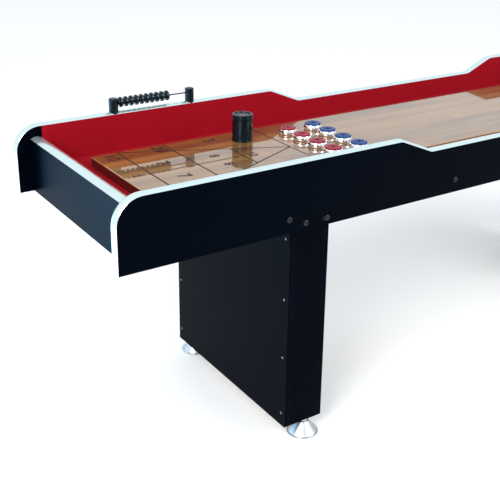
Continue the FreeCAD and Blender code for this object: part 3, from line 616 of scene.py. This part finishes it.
def fastener_tree():
    """Sets a fastener on every point, head outwards, each turned by its own chance angle."""
    nodes = Nodes("fasteners_on_points")
    fastener = nodes.input("Fastener", "Object")
    material = nodes.input("Material", "Material")
    turn_limit = nodes.input("Turn Limit", "Float", math.pi)
    seed = nodes.input("Seed", "Int", 1)
    source = nodes.add("GeometryNodeObjectInfo", {"Object": fastener})
    outwards = nodes.add("GeometryNodeInputNamedAttribute", {"Name": "outwards"}, data_type="FLOAT_VECTOR")
    facing = nodes.add("FunctionNodeAlignRotationToVector", {"Vector": outwards}, axis="Z")
    chance = nodes.add("FunctionNodeRandomValue", {3: turn_limit, "Seed": seed}, data_type="FLOAT")
    own_turn = nodes.add("ShaderNodeCombineXYZ", {"Z": chance.outputs[1]})
    spin = nodes.add("FunctionNodeEulerToRotation", {"Euler": own_turn})
    turned_by = nodes.add("FunctionNodeRotateRotation", {"Rotation": facing, "Rotate By": spin},
                          rotation_space="LOCAL")
    spots = nodes.add("GeometryNodeInstanceOnPoints", {
        "Points": nodes.entry, "Instance": source.outputs["Geometry"], "Rotation": turned_by})
    return nodes.close(spots, material)


def bead_tree():
    """A bead turned about the rod: a hub with a flared, round-edged disc, as a swept outline."""
    nodes = Nodes("turned_bead")
    material = nodes.input("Material", "Material")
    turning_radius = nodes.input("Turning Radius", "Float", 0.005)
    segments = nodes.input("Segments", "Int", 40)
    centre = nodes.input("Centre", "Vector")
    outline = nodes.add("GeometryNodeMeshToCurve", {"Mesh": nodes.entry})
    circle = nodes.add("GeometryNodeCurvePrimitiveCircle", {
        "Resolution": segments, "Radius": turning_radius}, mode="RADIUS")
    sweep = nodes.add("GeometryNodeCurveToMesh", {"Curve": circle, "Profile Curve": outline})
    stand = nodes.add("GeometryNodeTransform", {
        "Geometry": sweep, "Translation": centre, "Rotation": Euler((0, math.pi / 2, 0))})
    return nodes.close(stand, material)


def mark_ring_tree():
    """Small marks set in a ring, each turned to face outwards."""
    nodes = Nodes("ring_of_marks")
    mark = nodes.input("Mark", "Object")
    material = nodes.input("Material", "Material")
    count = nodes.input("Count", "Int", 6)
    ring_radius = nodes.input("Ring Radius", "Float", 0.01)
    centre = nodes.input("Centre", "Vector")
    source = nodes.add("GeometryNodeObjectInfo", {"Object": mark})
    ring = nodes.add("GeometryNodeMeshCircle", {"Vertices": count, "Radius": ring_radius})
    facing = nodes.add("FunctionNodeAlignRotationToVector", {
        "Vector": nodes.add("GeometryNodeInputPosition")}, axis="X")
    spots = nodes.add("GeometryNodeInstanceOnPoints", {
        "Points": ring, "Instance": source.outputs["Geometry"], "Rotation": facing})
    moved = nodes.add("GeometryNodeTransform", {"Geometry": spots, "Translation": centre})
    return nodes.close(moved, material)


def grown(name, tree, start_mesh, inputs):
    """Runs a node tree on a mesh and keeps the result as a plain piece."""
    holder = new_piece(name + "_grower", start_mesh)
    modifier = holder.modifiers.new("growth", "NODES")
    modifier.node_group = tree
    for item in tree.interface.items_tree:
        if item.in_out == "INPUT" and item.name in inputs:
            modifier[item.identifier] = inputs[item.name]
    bpy.context.view_layer.update()
    mesh = baked(holder)
    mesh.name = name
    soften(mesh)
    return new_piece(name, mesh)


# -------- cabinet


class SHUFFLE_OT_cabinet(bpy.types.Operator):
    """Dark laminate on the side and end panels, raw board on the floor and beams"""

    bl_idname = "shuffle.cabinet"
    bl_label = "Cabinet"

    def execute(self, context):
        paint_nodes(laminate("panel_laminate"),
                    "front_side_panel", "back_side_panel", "left_end_panel", "right_end_panel")
        paint_nodes(plain_board(), "cabinet_floor", "crossbeams")
        return {"FINISHED"}


class SHUFFLE_OT_trim(bpy.types.Operator):
    """Silver edging on the side and end panels"""

    bl_idname = "shuffle.trim"
    bl_label = "Trim"

    def execute(self, context):
        paint_nodes(silver_trim(), "front_side_trim", "back_side_trim", "left_end_trim", "right_end_trim")
        return {"FINISHED"}


class SHUFFLE_OT_felt(bpy.types.Operator):
    """Red felt on the inner walls and the gutter floor"""

    bl_idname = "shuffle.felt"
    bl_label = "Felt"

    def execute(self, context):
        paint_nodes(felt(), "side_linings", "end_linings", "gutter_carpet")
        return {"FINISHED"}


# -------- playing board

PAINT_SINK = 0.00002
PAINT_PROUD = 0.00006
LINE_END_GAP = 0.002
TRIANGLE_INSET = 0.0005
ZONE_NUMBERS = (
    # number, in from the board's end, across, share of the number height
    ("7", 0.1475, 0.062, 1.0), ("7", 0.1475, -0.062, 1.0),
    ("8", 0.3015, 0.040, 0.8), ("8", 0.3015, -0.040, 0.8),
    ("10", 0.4030, 0.0, 0.8),
    ("1", 0.0390, 0.0, 0.9),
    ("10", 0.0450, 0.174, 1.05), ("20", 0.1960, 0.174, 1.05), ("3", 0.3620, 0.174, 1.05),
)


class SHUFFLE_OT_board(bpy.types.Operator):
    """Glued wood with a clear coat, the painted lines of both scoring ends and their numbers"""

    bl_idname = "shuffle.board"
    bl_label = "Playing board"

    def execute(self, context):
        board = context.scene.shuffle_board
        paint_nodes(board_wood(), "playfield")
        paint = board_paint()
        low = BOARD_HIGH.z - PAINT_SINK
        high = BOARD_HIGH.z + PAINT_PROUD
        vertices, faces, numbers = [], [], []
        for end in (-1, 1):
            for start, finish in self.lines(board):
                bar(vertices, faces, self.at(end, *start), self.at(end, *finish),
                    board.line_width, low, high)
            for text, inset, across, share in ZONE_NUMBERS:
                place = Vector((*self.at(end, inset, across), (low + high) / 2))
                numbers.append(text_mesh(
                    text, board.number_height * share, high - low, place, end * math.pi / 2))
        lines = new_piece("board_lines", built_mesh("board_lines", vertices, faces), paint)
        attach(lines, "table")
        digits = joined("board_numbers", numbers, paint)
        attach(digits, "table")
        return {"FINISHED"}

    def at(self, end, inset, across):
        """A point of one scoring end, turned half round for the far end."""
        return (end * (BOARD_HIGH.x - inset), -end * across)

    def lines(self, board):
        """Starts and ends of one scoring end's lines, each as (in from the end, across)."""
        first, third, apex = board.foul_line, board.third_line, board.apex_line
        half = BOARD_HIGH.y - LINE_END_GAP
        short = (apex - third) / (apex - first) * half
        lines = [((inset, -half), (inset, half)) for inset in (first, board.second_line, apex)]
        lines += [((first, side * (half - TRIANGLE_INSET)), (apex, 0)) for side in (-1, 1)]
        return lines + [((third, -short), (third, short)), ((first, 0), (third, 0))]


# -------- legs

LEG_SIDES = ("left", "right")


class SHUFFLE_OT_legs(bpy.types.Operator):
    """Dark laminate on the box legs, rubbed a little at their edges, raw board on their rails"""

    bl_idname = "shuffle.legs"
    bl_label = "Legs"

    def execute(self, context):
        for side in LEG_SIDES:
            for part in ("outer_face", "inner_face"):
                name = "%s_leg_%s" % (side, part)
                paint_nodes(laminate("laminate_" + name, name), name)
            boards = side + "_leg_side_boards"
            paint_nodes(laminate("laminate_" + boards), boards)
        paint_nodes(plain_board(), "left_leg_rails", "right_leg_rails")
        return {"FINISHED"}


# -------- screws and bolts

HEAD_RINGS = 9
HEAD_SEGMENTS = 36
CROWN_REACH = 0.92
SCREW_SHANK = (0.0019, 0.010)
BOLT_SHANK = (0.0039, 0.012)
CROSS_ARM, CROSS_WIDTH = 0.55, 0.26
HEXAGON_REACH = 0.46
SCREW_SHADE = 0.42
ACROSS_A_HEAD = 0.012
ALONG_A_SHANK = 0.06


def in_cross(x, y, radius):
    """Whether a point of a screw's face lies in its crossed recess."""
    x, y = abs(x), abs(y)
    return min(x, y) < radius * CROSS_WIDTH / 2 and max(x, y) < radius * CROSS_ARM


def in_hexagon(x, y, radius):
    """Whether a point of a bolt's face lies in its six-sided recess."""
    sixth = math.pi / 3
    from_flat = math.atan2(y, x) % sixth - sixth / 2
    return math.hypot(x, y) * math.cos(from_flat) < radius * HEXAGON_REACH * math.cos(sixth / 2)


def screw_head(name, radius, height, shank, in_recess, floor, material):
    """A fastener standing on its origin, head up: crowned head with a sunk drive, and its shank."""
    shank_radius, shank_length = shank
    rings = [[(0, 0, -shank_length)]]
    for reach, level in ((shank_radius, -shank_length), (shank_radius, 0.0), (radius, 0.0)):
        rings.append(circle_points((0, 0), reach, level, HEAD_SEGMENTS))
    for ring in range(HEAD_RINGS, 0, -1):
        share = ring / HEAD_RINGS
        crown = height * math.sqrt(1 - (share * CROWN_REACH) ** 2)
        rings.append([(x, y, height * floor if in_recess(x, y, radius) else crown)
                      for x, y, _ in circle_points((0, 0), radius * share, 0, HEAD_SEGMENTS)])
    rings.append([(0, 0, height * floor)])
    return new_piece(name, skinned(name, rings), material)


def spots_mesh(name, spots):
    """Points that each carry the direction in which a fastener's head faces."""
    mesh = built_mesh(name, [place for place, outwards in spots])
    directions = mesh.attributes.new("outwards", "FLOAT_VECTOR", "POINT")
    for index, (place, outwards) in enumerate(spots):
        directions.data[index].vector = outwards
    return mesh


class SHUFFLE_OT_fasteners(bpy.types.Operator):
    """Cross-headed leg screws and domed frame bolts, set on the places of the frame's own"""

    bl_idname = "shuffle.fasteners"
    bl_label = "Screws and bolts"

    def execute(self, context):
        hardware = context.scene.shuffle_hardware
        tree = fastener_tree()
        steel = bright_steel("screw_steel", SCREW_SHADE)
        black = black_steel()
        screw = screw_head("screw_pattern", hardware.screw_head_radius, hardware.screw_head_height,
                           SCREW_SHANK, in_cross, 0.35, steel)
        bolt = screw_head("bolt_pattern", hardware.bolt_head_radius, hardware.bolt_head_height,
                          BOLT_SHANK, in_hexagon, 0.45, black)
        jobs = (
            # node, pattern, axis of its screws, height of the head, material, slot
            ("leg_screws", screw, 0, hardware.screw_head_height, steel, "bright_steel"),
            ("frame_bolts", bolt, 1, hardware.bolt_head_height, black, "black_steel"),
        )
        for node, pattern, axis, head_height, material, slot in jobs:
            spots = []
            for low, high in self.head_boxes(node, axis):
                side = 1 if self.faces_up(axis, (low + high) / 2) else -1
                outwards = Vector((0, 0, 0))
                outwards[axis] = side
                seat = (low + high) / 2
                seat[axis] = (high[axis] if side > 0 else low[axis]) - side * head_height
                spots.append((seat, outwards))
            piece = grown(node + "_set", tree, spots_mesh(node + "_spots", spots), {
                "Fastener": pattern, "Material": material,
                "Turn Limit": 2 * math.pi, "Seed": hardware.fastener_seed})
            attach(piece, "table")
            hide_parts(node)
            bpy.data.objects.remove(pattern)
        return {"FINISHED"}

    def head_boxes(self, node, axis):
        """Boxes of a node's solids: vertices grouped by their place along and across the axis."""
        others = [other for other in range(3) if other != axis]
        groups = []
        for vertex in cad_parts[node].data.vertices:
            for group in groups:
                away = vertex.co - group[0]
                across = max(abs(away[other]) for other in others)
                if across < ACROSS_A_HEAD and abs(away[axis]) < ALONG_A_SHANK:
                    group.append(vertex.co)
                    break
            else:
                groups.append([vertex.co])
        return [[Vector([limit(values) for values in zip(*group)]) for limit in (min, max)]
                for group in groups]

    def faces_up(self, axis, centre):
        """Whether the head is at the upper end of a fastener along its axis."""
        if axis == 1:
            return centre.y > 0
        leg = LEG_SIDES[0] if centre.x < 0 else LEG_SIDES[1]
        return centre.x > middle(leg + "_leg_side_boards").x


# -------- levelling feet

FOOT_DISC_EDGE = 0.0038
FOOT_DISC_TOP = 0.0046
COLLAR_RADIUS = 0.0131
STUD_RADIUS = 0.0049
THREAD_DEPTH = 0.0006


class SHUFFLE_OT_feet(bpy.types.Operator):
    """Spun steel feet with a cone, a collar and a threaded stud, and the steel inserts in the legs"""

    bl_idname = "shuffle.feet"
    bl_label = "Levelling feet"

    def execute(self, context):
        pitch = context.scene.shuffle_hardware.thread_pitch
        steel = spun_steel("foot_steel", [middle(foot + "_leveller").xy for foot in FEET])
        for foot in FEET:
            node = foot + "_leveller"
            low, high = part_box(node)
            radius = (high.x - low.x) / 2
            corners = [
                (0, 0, 0), (radius - 0.0012, 0, 0), (radius, 0.0012, 0),
                (radius, FOOT_DISC_EDGE, 0.0008), (radius - 0.0022, FOOT_DISC_TOP, 0),
                (radius - 0.0034, FOOT_DISC_TOP, 0.0008), (0.0168, 0.0386, 0.0015),
                (COLLAR_RADIUS, 0.0399, 0), (COLLAR_RADIUS, 0.0404, 0),
                (COLLAR_RADIUS - 0.0007, LEG_BOTTOM - 0.0016, 0.0006),
                (0.0112, LEG_BOTTOM - 0.0004, 0), (STUD_RADIUS + 0.0001, LEG_BOTTOM - 0.0004, 0),
            ]
            level = LEG_BOTTOM + 0.0008
            while level < high.z - 2 * pitch:
                corners.append((STUD_RADIUS, level, 0))
                corners.append((STUD_RADIUS - THREAD_DEPTH, level + pitch / 2, 0))
                level += pitch
            corners += [(0.0046, high.z - 0.0014, 0), (0.0036, high.z, 0), (0, high.z, 0)]
            piece = turned(foot + "_foot_steel", corners, middle(node), steel, 72)
            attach(piece, foot + "_foot")
            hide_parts(node)
        paint_nodes(bright_steel("insert_steel"), "leveller_inserts")
        return {"FINISHED"}


# -------- scorer

BEAD_BORE = 0.00208
BEAD_SEGMENTS = 40
BEAD_HALF_OUTLINE = (
    # from the rod's axis, out from the bead's middle, rounding; from the rim inwards
    (0.0122, 0.0042, 0.0008), (0.0086, 0.0052, 0.0012),
)


class SHUFFLE_OT_scorer(bpy.types.Operator):
    """Two black posts, a thin steel rod and ten turned beads"""

    bl_idname = "shuffle.scorer"
    bl_label = "Scorer"

    def execute(self, context):
        paint_nodes(black_gloss("scorer_black", 0.26, 0.5), "scorer_left_post", "scorer_right_post")
        paint_nodes(black_steel("rod_steel"), "scorer_rod")
        bead_black = black_gloss("bead_black", 0.16, 0.7)
        tree = bead_tree()
        for number in range(1, BEADS + 1):
            node = "scorer_bead_%02d" % number
            low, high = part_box(node)
            radius = (high.z - low.z) / 2
            turning = (radius + BEAD_BORE) / 2
            outline = rounded_outline(self.corners(radius, (high.x - low.x) / 2), 4)
            count = len(outline)
            mesh = built_mesh(
                node + "_outline", [(reach - turning, along, 0) for reach, along in outline],
                edges=[(index, (index + 1) % count) for index in range(count)])
            piece = grown(node + "_turned", tree, mesh, {
                "Material": bead_black, "Turning Radius": turning, "Segments": BEAD_SEGMENTS,
                "Centre": middle(node)})
            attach(piece, "bead_%02d" % number)
            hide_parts(node)
        return {"FINISHED"}

    def corners(self, radius, half):
        """Outline of a bead from one end to the other: half of it, then the same mirrored."""
        outer_half = [
            (radius, 0.0032, 0.0026), *BEAD_HALF_OUTLINE,
            (0.0084, half - 0.0022, 0.0012), (0.0076, half - 0.0004, 0.0010),
            (BEAD_BORE + 0.0016, half, 0), (BEAD_BORE, half, 0),
        ]
        return [(reach, -along, rounding) for reach, along, rounding in reversed(outer_half)] + outer_half


# -------- pucks

TURN_SEED = 11
RECESS_RADIUS = 0.0200
RECESS_DEPTH = 0.004
PLUG_RADIUS = 0.01985
SEAT_GAP = 0.0002
HOLLOW_RADIUS = 0.0062
MARK_RING_RADIUS = 0.0128
MARK_SINK = 0.00045
NOTCHED_FROM = 0.86


class SHUFFLE_OT_pucks(bpy.types.Operator):
    """Chrome weights with notched plastic caps, a dark plug in the middle painted as the shade of its recess,
    and moulded marks painted dark as their shade
    """

    bl_idname = "shuffle.pucks"
    bl_label = "Pucks"

    def execute(self, context):
        colours = context.scene.shuffle_finish
        hardware = context.scene.shuffle_hardware
        plating = chrome()
        # painted shade: a rough, dull black for the plug in the cap's recess and for the marks, standing in
        # for the shade inside them
        hollow_shade = black_gloss("cap_hollow_shade", 0.6, 0.05)
        tree = mark_ring_tree()
        mark = self.mark_pattern()
        chance = random.Random(TURN_SEED)
        for colour, tint in (("red", colours.red_cap), ("blue", colours.blue_cap)):
            plastic = cap_plastic(colour + "_cap_plastic", tint)
            for number in range(1, PUCKS_PER_ROW + 1):
                body = "%s_puck_%d" % (colour, number)
                weight = "%s_puck_weight_%d" % (colour, number)
                cap = "%s_puck_cap_%d" % (colour, number)
                self.weight(body, weight, plating)
                self.cap(body, weight, cap, plastic, hardware, chance.uniform(0, 2 * math.pi))
                self.hollow_shade(body, cap, hollow_shade)
                centre = middle(cap)
                centre.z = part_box(cap)[1].z - MARK_SINK
                # the marks take the same dull black: painted shade of small moulded notches
                marks = grown(body + "_marks", tree, bpy.data.meshes.new("ring_start"), {
                    "Mark": mark, "Material": hollow_shade, "Count": hardware.cap_marks,
                    "Ring Radius": MARK_RING_RADIUS, "Centre": centre})
                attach(marks, body)
        bpy.data.objects.remove(mark)
        return {"FINISHED"}

    def mark_pattern(self):
        """A small low bar, longer outwards than across."""
        vertices, faces = [], []
        bar(vertices, faces, (-0.0022, 0), (0.0022, 0), 0.0011, 0.0, 0.0005)
        return new_piece("mark_pattern", built_mesh("mark_pattern", vertices, faces))

    def weight(self, body, node, plating):
        """The heavy disc: barrel sides that bulge in the middle, and the recess for the cap."""
        low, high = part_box(node)
        radius = (high.x - low.x) / 2
        level = (low.z + high.z) / 2
        corners = [
            (0, low.z, 0), (radius - 0.0024, low.z, 0.0008),
            (radius - 0.0007, level - 0.0036, 0.004), (radius, level, 0.006),
            (radius - 0.0007, level + 0.0036, 0.004), (radius - 0.0024, high.z, 0.0012),
            (RECESS_RADIUS, high.z, 0), (RECESS_RADIUS, high.z - RECESS_DEPTH, 0),
            (0, high.z - RECESS_DEPTH, 0),
        ]
        piece = turned(body + "_weight", corners, middle(node), plating, 72)
        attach(piece, body)
        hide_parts(node)

    def cap(self, body, weight, node, plastic, hardware, turn):
        """The cap: a plug in the weight's recess and a low disc with a notched rim."""
        low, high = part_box(node)
        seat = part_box(weight)[1].z + SEAT_GAP
        reach = (high.x - low.x) / 2

        def notched(angle, radius):
            if radius < reach * NOTCHED_FROM:
                return radius
            wave = max(0.0, math.cos(hardware.cap_scallops * (angle + turn)))
            return radius - hardware.scallop_depth * wave ** 3

        groove = high.z - 0.0005
        corners = [
            (0, low.z, 0), (PLUG_RADIUS, low.z, 0), (PLUG_RADIUS, seat, 0), (reach - 0.001, seat, 0),
            (reach, seat + 0.0008, 0.0006), (reach, high.z - 0.0016, 0.0009),
            (reach - 0.0038, high.z - 0.0003, 0.002), (0.0160, high.z, 0),
            (0.0152, groove, 0.0004), (0.0104, groove, 0.0004), (0.0096, high.z, 0),
            (0.0068, high.z, 0.0006), (HOLLOW_RADIUS, high.z - 0.0034, 0.0006),
            (0, high.z - 0.0038, 0),
        ]
        piece = turned(body + "_cap", corners, middle(node), plastic, 96, reach_at=notched)
        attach(piece, body)
        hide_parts(node)

    def hollow_shade(self, body, cap, material):
        """A dark plug at the bottom of the cap's recess: painted shade standing in for its depth."""
        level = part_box(cap)[1].z - 0.0036
        corners = [
            (0, level - 0.0006, 0), (HOLLOW_RADIUS, level - 0.0006, 0),
            (HOLLOW_RADIUS, level + 0.0022, 0.0004), (0.0040, level + 0.0018, 0),
            (0, level + 0.0010, 0),
        ]
        piece = turned(body + "_hollow", corners, middle(cap), material, 32, steps=2)
        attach(piece, body)


# -------- wax can

CAN_SEGMENTS = 96
WALL_INSET = 0.0008
LIP_INSET = 0.0020
GROOVE_INSET = 0.0009
LID_DISH = 0.0030
LID_RING = 0.0018


class SHUFFLE_OT_can(bpy.types.Operator):
    """A glossy black can with a rolled foot, a seam and a ringed lid"""

    bl_idname = "shuffle.can"
    bl_label = "Wax can"

    def execute(self, context):
        low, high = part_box("wax_can")
        lid_low, lid_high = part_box("wax_can_lid")
        radius = (high.x - low.x) / 2
        foot = low.z
        shoulder = lid_low.z - 0.0002
        wall = radius - WALL_INSET
        lip = radius - LIP_INSET
        corners = [
            (0, foot + 0.0012, 0), (radius - 0.0046, foot + 0.0012, 0.0005),
            (radius - 0.0034, foot, 0.0006), (radius - 0.0006, foot, 0.0006),
            (radius, foot + 0.0016, 0.0008), (radius - 0.0003, foot + 0.0034, 0.0008),
            (wall, foot + 0.0046, 0.0008), (wall, shoulder - 0.0040, 0.0008),
            (radius, shoulder - 0.0026, 0.0008), (radius, shoulder - 0.0006, 0.0005),
            (wall, shoulder, 0), (lip, shoulder, 0), (lip, high.z, 0.0003),
            (radius - 0.0034, high.z, 0.0003), (radius - 0.0035, foot + 0.0016, 0.0006),
            (0, foot + 0.0016, 0),
        ]
        can = turned("wax_can_tin", corners, middle("wax_can"), black_gloss("can_black", 0.1, 0.3),
                     CAN_SEGMENTS)
        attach(can, "can")
        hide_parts("wax_can")
        skirt = lid_low.z
        groove = radius - GROOVE_INSET
        top = lid_high.z
        dish = top - LID_DISH
        ring = top - LID_RING
        corners = [
            (0, skirt + 0.0061, 0), (radius - 0.0019, skirt + 0.0061, 0.0004),
            (radius - 0.0019, skirt + 0.0001, 0.0003), (radius - 0.0003, skirt + 0.0001, 0.0003),
            (radius, skirt + 0.0010, 0.0004), (radius, skirt + 0.0034, 0.0006),
            (groove, skirt + 0.0042, 0.0005), (groove, skirt + 0.0052, 0.0005),
            (radius, skirt + 0.0060, 0.0006), (radius, dish, 0.0012),
            (radius - 0.0022, top, 0.0014), (radius - 0.0068, top, 0.0014),
            (radius - 0.0078, dish, 0.0008), (radius - 0.0120, dish, 0.0006),
            (radius - 0.0130, ring, 0.0006), (radius - 0.0160, ring, 0.0006),
            (radius - 0.0170, dish, 0.0006), (0, top - 0.0026, 0),
        ]
        lid = turned("wax_can_cover", corners, middle("wax_can"), black_gloss("lid_black", 0.14, 0.35),
                     CAN_SEGMENTS)
        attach(lid, "can_lid")
        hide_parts("wax_can_lid")
        return {"FINISHED"}


# -------- stage

FLOOR_REACH = 30.0
FLOOR_GAP = 0.0005
LIGHTS = (
    # name, place, what it is aimed at, size, power, colour
    ("key_light", (-3.9, -1.7, 3.0), (-0.8, 0, 0.7), 2.6, 175.0, (1.0, 0.98, 0.95)),
    ("fill_light", (1.8, -3.6, 3.4), (0.2, 0, 0.8), 2.6, 140.0, (0.95, 0.98, 1.0)),
    ("side_card", (-2.25, 1.0, 0.35), (-1.33, -0.1, 0.7), 1.0, 13.0, (0.04, 0.50, 1.0)),
)
SENSOR_WIDTH = 36
FARTHEST = 100


class SHUFFLE_OT_stage(bpy.types.Operator):
    """Pale floor, soft lights and the camera"""

    bl_idname = "shuffle.stage"
    bl_label = "Stage"

    def execute(self, context):
        stage = context.scene.shuffle_stage
        corners = [(x * FLOOR_REACH, y * FLOOR_REACH, 0) for x, y in ((-1, -1), (1, -1), (1, 1), (-1, 1))]
        floor = new_piece("studio_floor", built_mesh("studio_floor", corners, [(0, 1, 2, 3)]), pale_floor())
        floor.location.z = -FLOOR_GAP
        world = bpy.data.worlds.new("surroundings")
        world.use_nodes = True
        background = world.node_tree.nodes["Background"]
        background.inputs["Color"].default_value = (*stage.sky_colour, 1.0)
        background.inputs["Strength"].default_value = stage.sky_strength
        context.scene.world = world
        for light in LIGHTS:
            self.light(*light)
        self.camera(context, stage)
        context.scene.view_settings.view_transform = "Standard"
        return {"FINISHED"}

    def light(self, name, place, target, size, power, colour):
        """A round area light at a place, aimed at a target."""
        light = bpy.data.lights.new(name, "AREA")
        light.shape = "DISK"
        light.size = size
        light.energy = power
        light.color = colour
        holder = new_piece(name, light)
        holder.location = place
        holder.rotation_euler = (Vector(target) - Vector(place)).to_track_quat("-Z", "Y").to_euler()

    def camera(self, context, stage):
        heading, tilt, roll = stage.camera_heading, stage.camera_tilt, stage.camera_roll
        forward = Vector((math.sin(heading) * math.cos(tilt), math.cos(heading) * math.cos(tilt),
                          -math.sin(tilt)))
        level_right = Vector((math.cos(heading), -math.sin(heading), 0))
        level_up = level_right.cross(forward)
        right = level_right * math.cos(roll) + level_up * math.sin(roll)
        up = level_up * math.cos(roll) - level_right * math.sin(roll)
        turn = Matrix((right, up, -forward)).transposed()
        lens = bpy.data.cameras.new("camera")
        lens.sensor_width = SENSOR_WIDTH
        lens.lens = stage.camera_lens
        lens.shift_x, lens.shift_y = stage.camera_shift
        lens.clip_end = FARTHEST
        camera = new_piece("camera", lens)
        camera.matrix_world = Matrix.Translation(stage.camera_place) @ turn.to_4x4()
        context.scene.camera = camera


# -------- panel and registration

STEPS = (
    SHUFFLE_OT_cabinet, SHUFFLE_OT_trim, SHUFFLE_OT_felt, SHUFFLE_OT_board, SHUFFLE_OT_legs,
    SHUFFLE_OT_fasteners, SHUFFLE_OT_feet, SHUFFLE_OT_scorer, SHUFFLE_OT_pucks, SHUFFLE_OT_can,
    SHUFFLE_OT_stage,
)

GROUPS = (
    ("shuffle_board", BoardSettings),
    ("shuffle_finish", FinishSettings),
    ("shuffle_hardware", HardwareSettings),
    ("shuffle_stage", StageSettings),
)


class SHUFFLE_PT_panel(bpy.types.Panel):
    """Settings and steps of the shuffleboard table"""

    bl_idname = "SHUFFLE_PT_panel"
    bl_label = "Shuffleboard Table"
    bl_space_type = "VIEW_3D"
    bl_region_type = "UI"
    bl_category = "Shuffleboard"

    def draw(self, context):
        for name, group in GROUPS:
            settings = getattr(context.scene, name)
            box = self.layout.box()
            for key in group.__annotations__:
                box.prop(settings, key)
        for step in STEPS:
            self.layout.operator(step.bl_idname)


def register():
    for name, group in GROUPS:
        bpy.utils.register_class(group)
        setattr(bpy.types.Scene, name, bpy.props.PointerProperty(type=group))
    for step in STEPS:
        bpy.utils.register_class(step)
    bpy.utils.register_class(SHUFFLE_PT_panel)


def unregister():
    bpy.utils.unregister_class(SHUFFLE_PT_panel)
    for step in reversed(STEPS):
        bpy.utils.unregister_class(step)
    for name, group in reversed(GROUPS):
        delattr(bpy.types.Scene, name)
        bpy.utils.unregister_class(group)


def main():
    register()
    for step in STEPS:
        area, action = step.bl_idname.split(".")
        getattr(getattr(bpy.ops, area), action)()


if __name__ == "__main__":
    main()
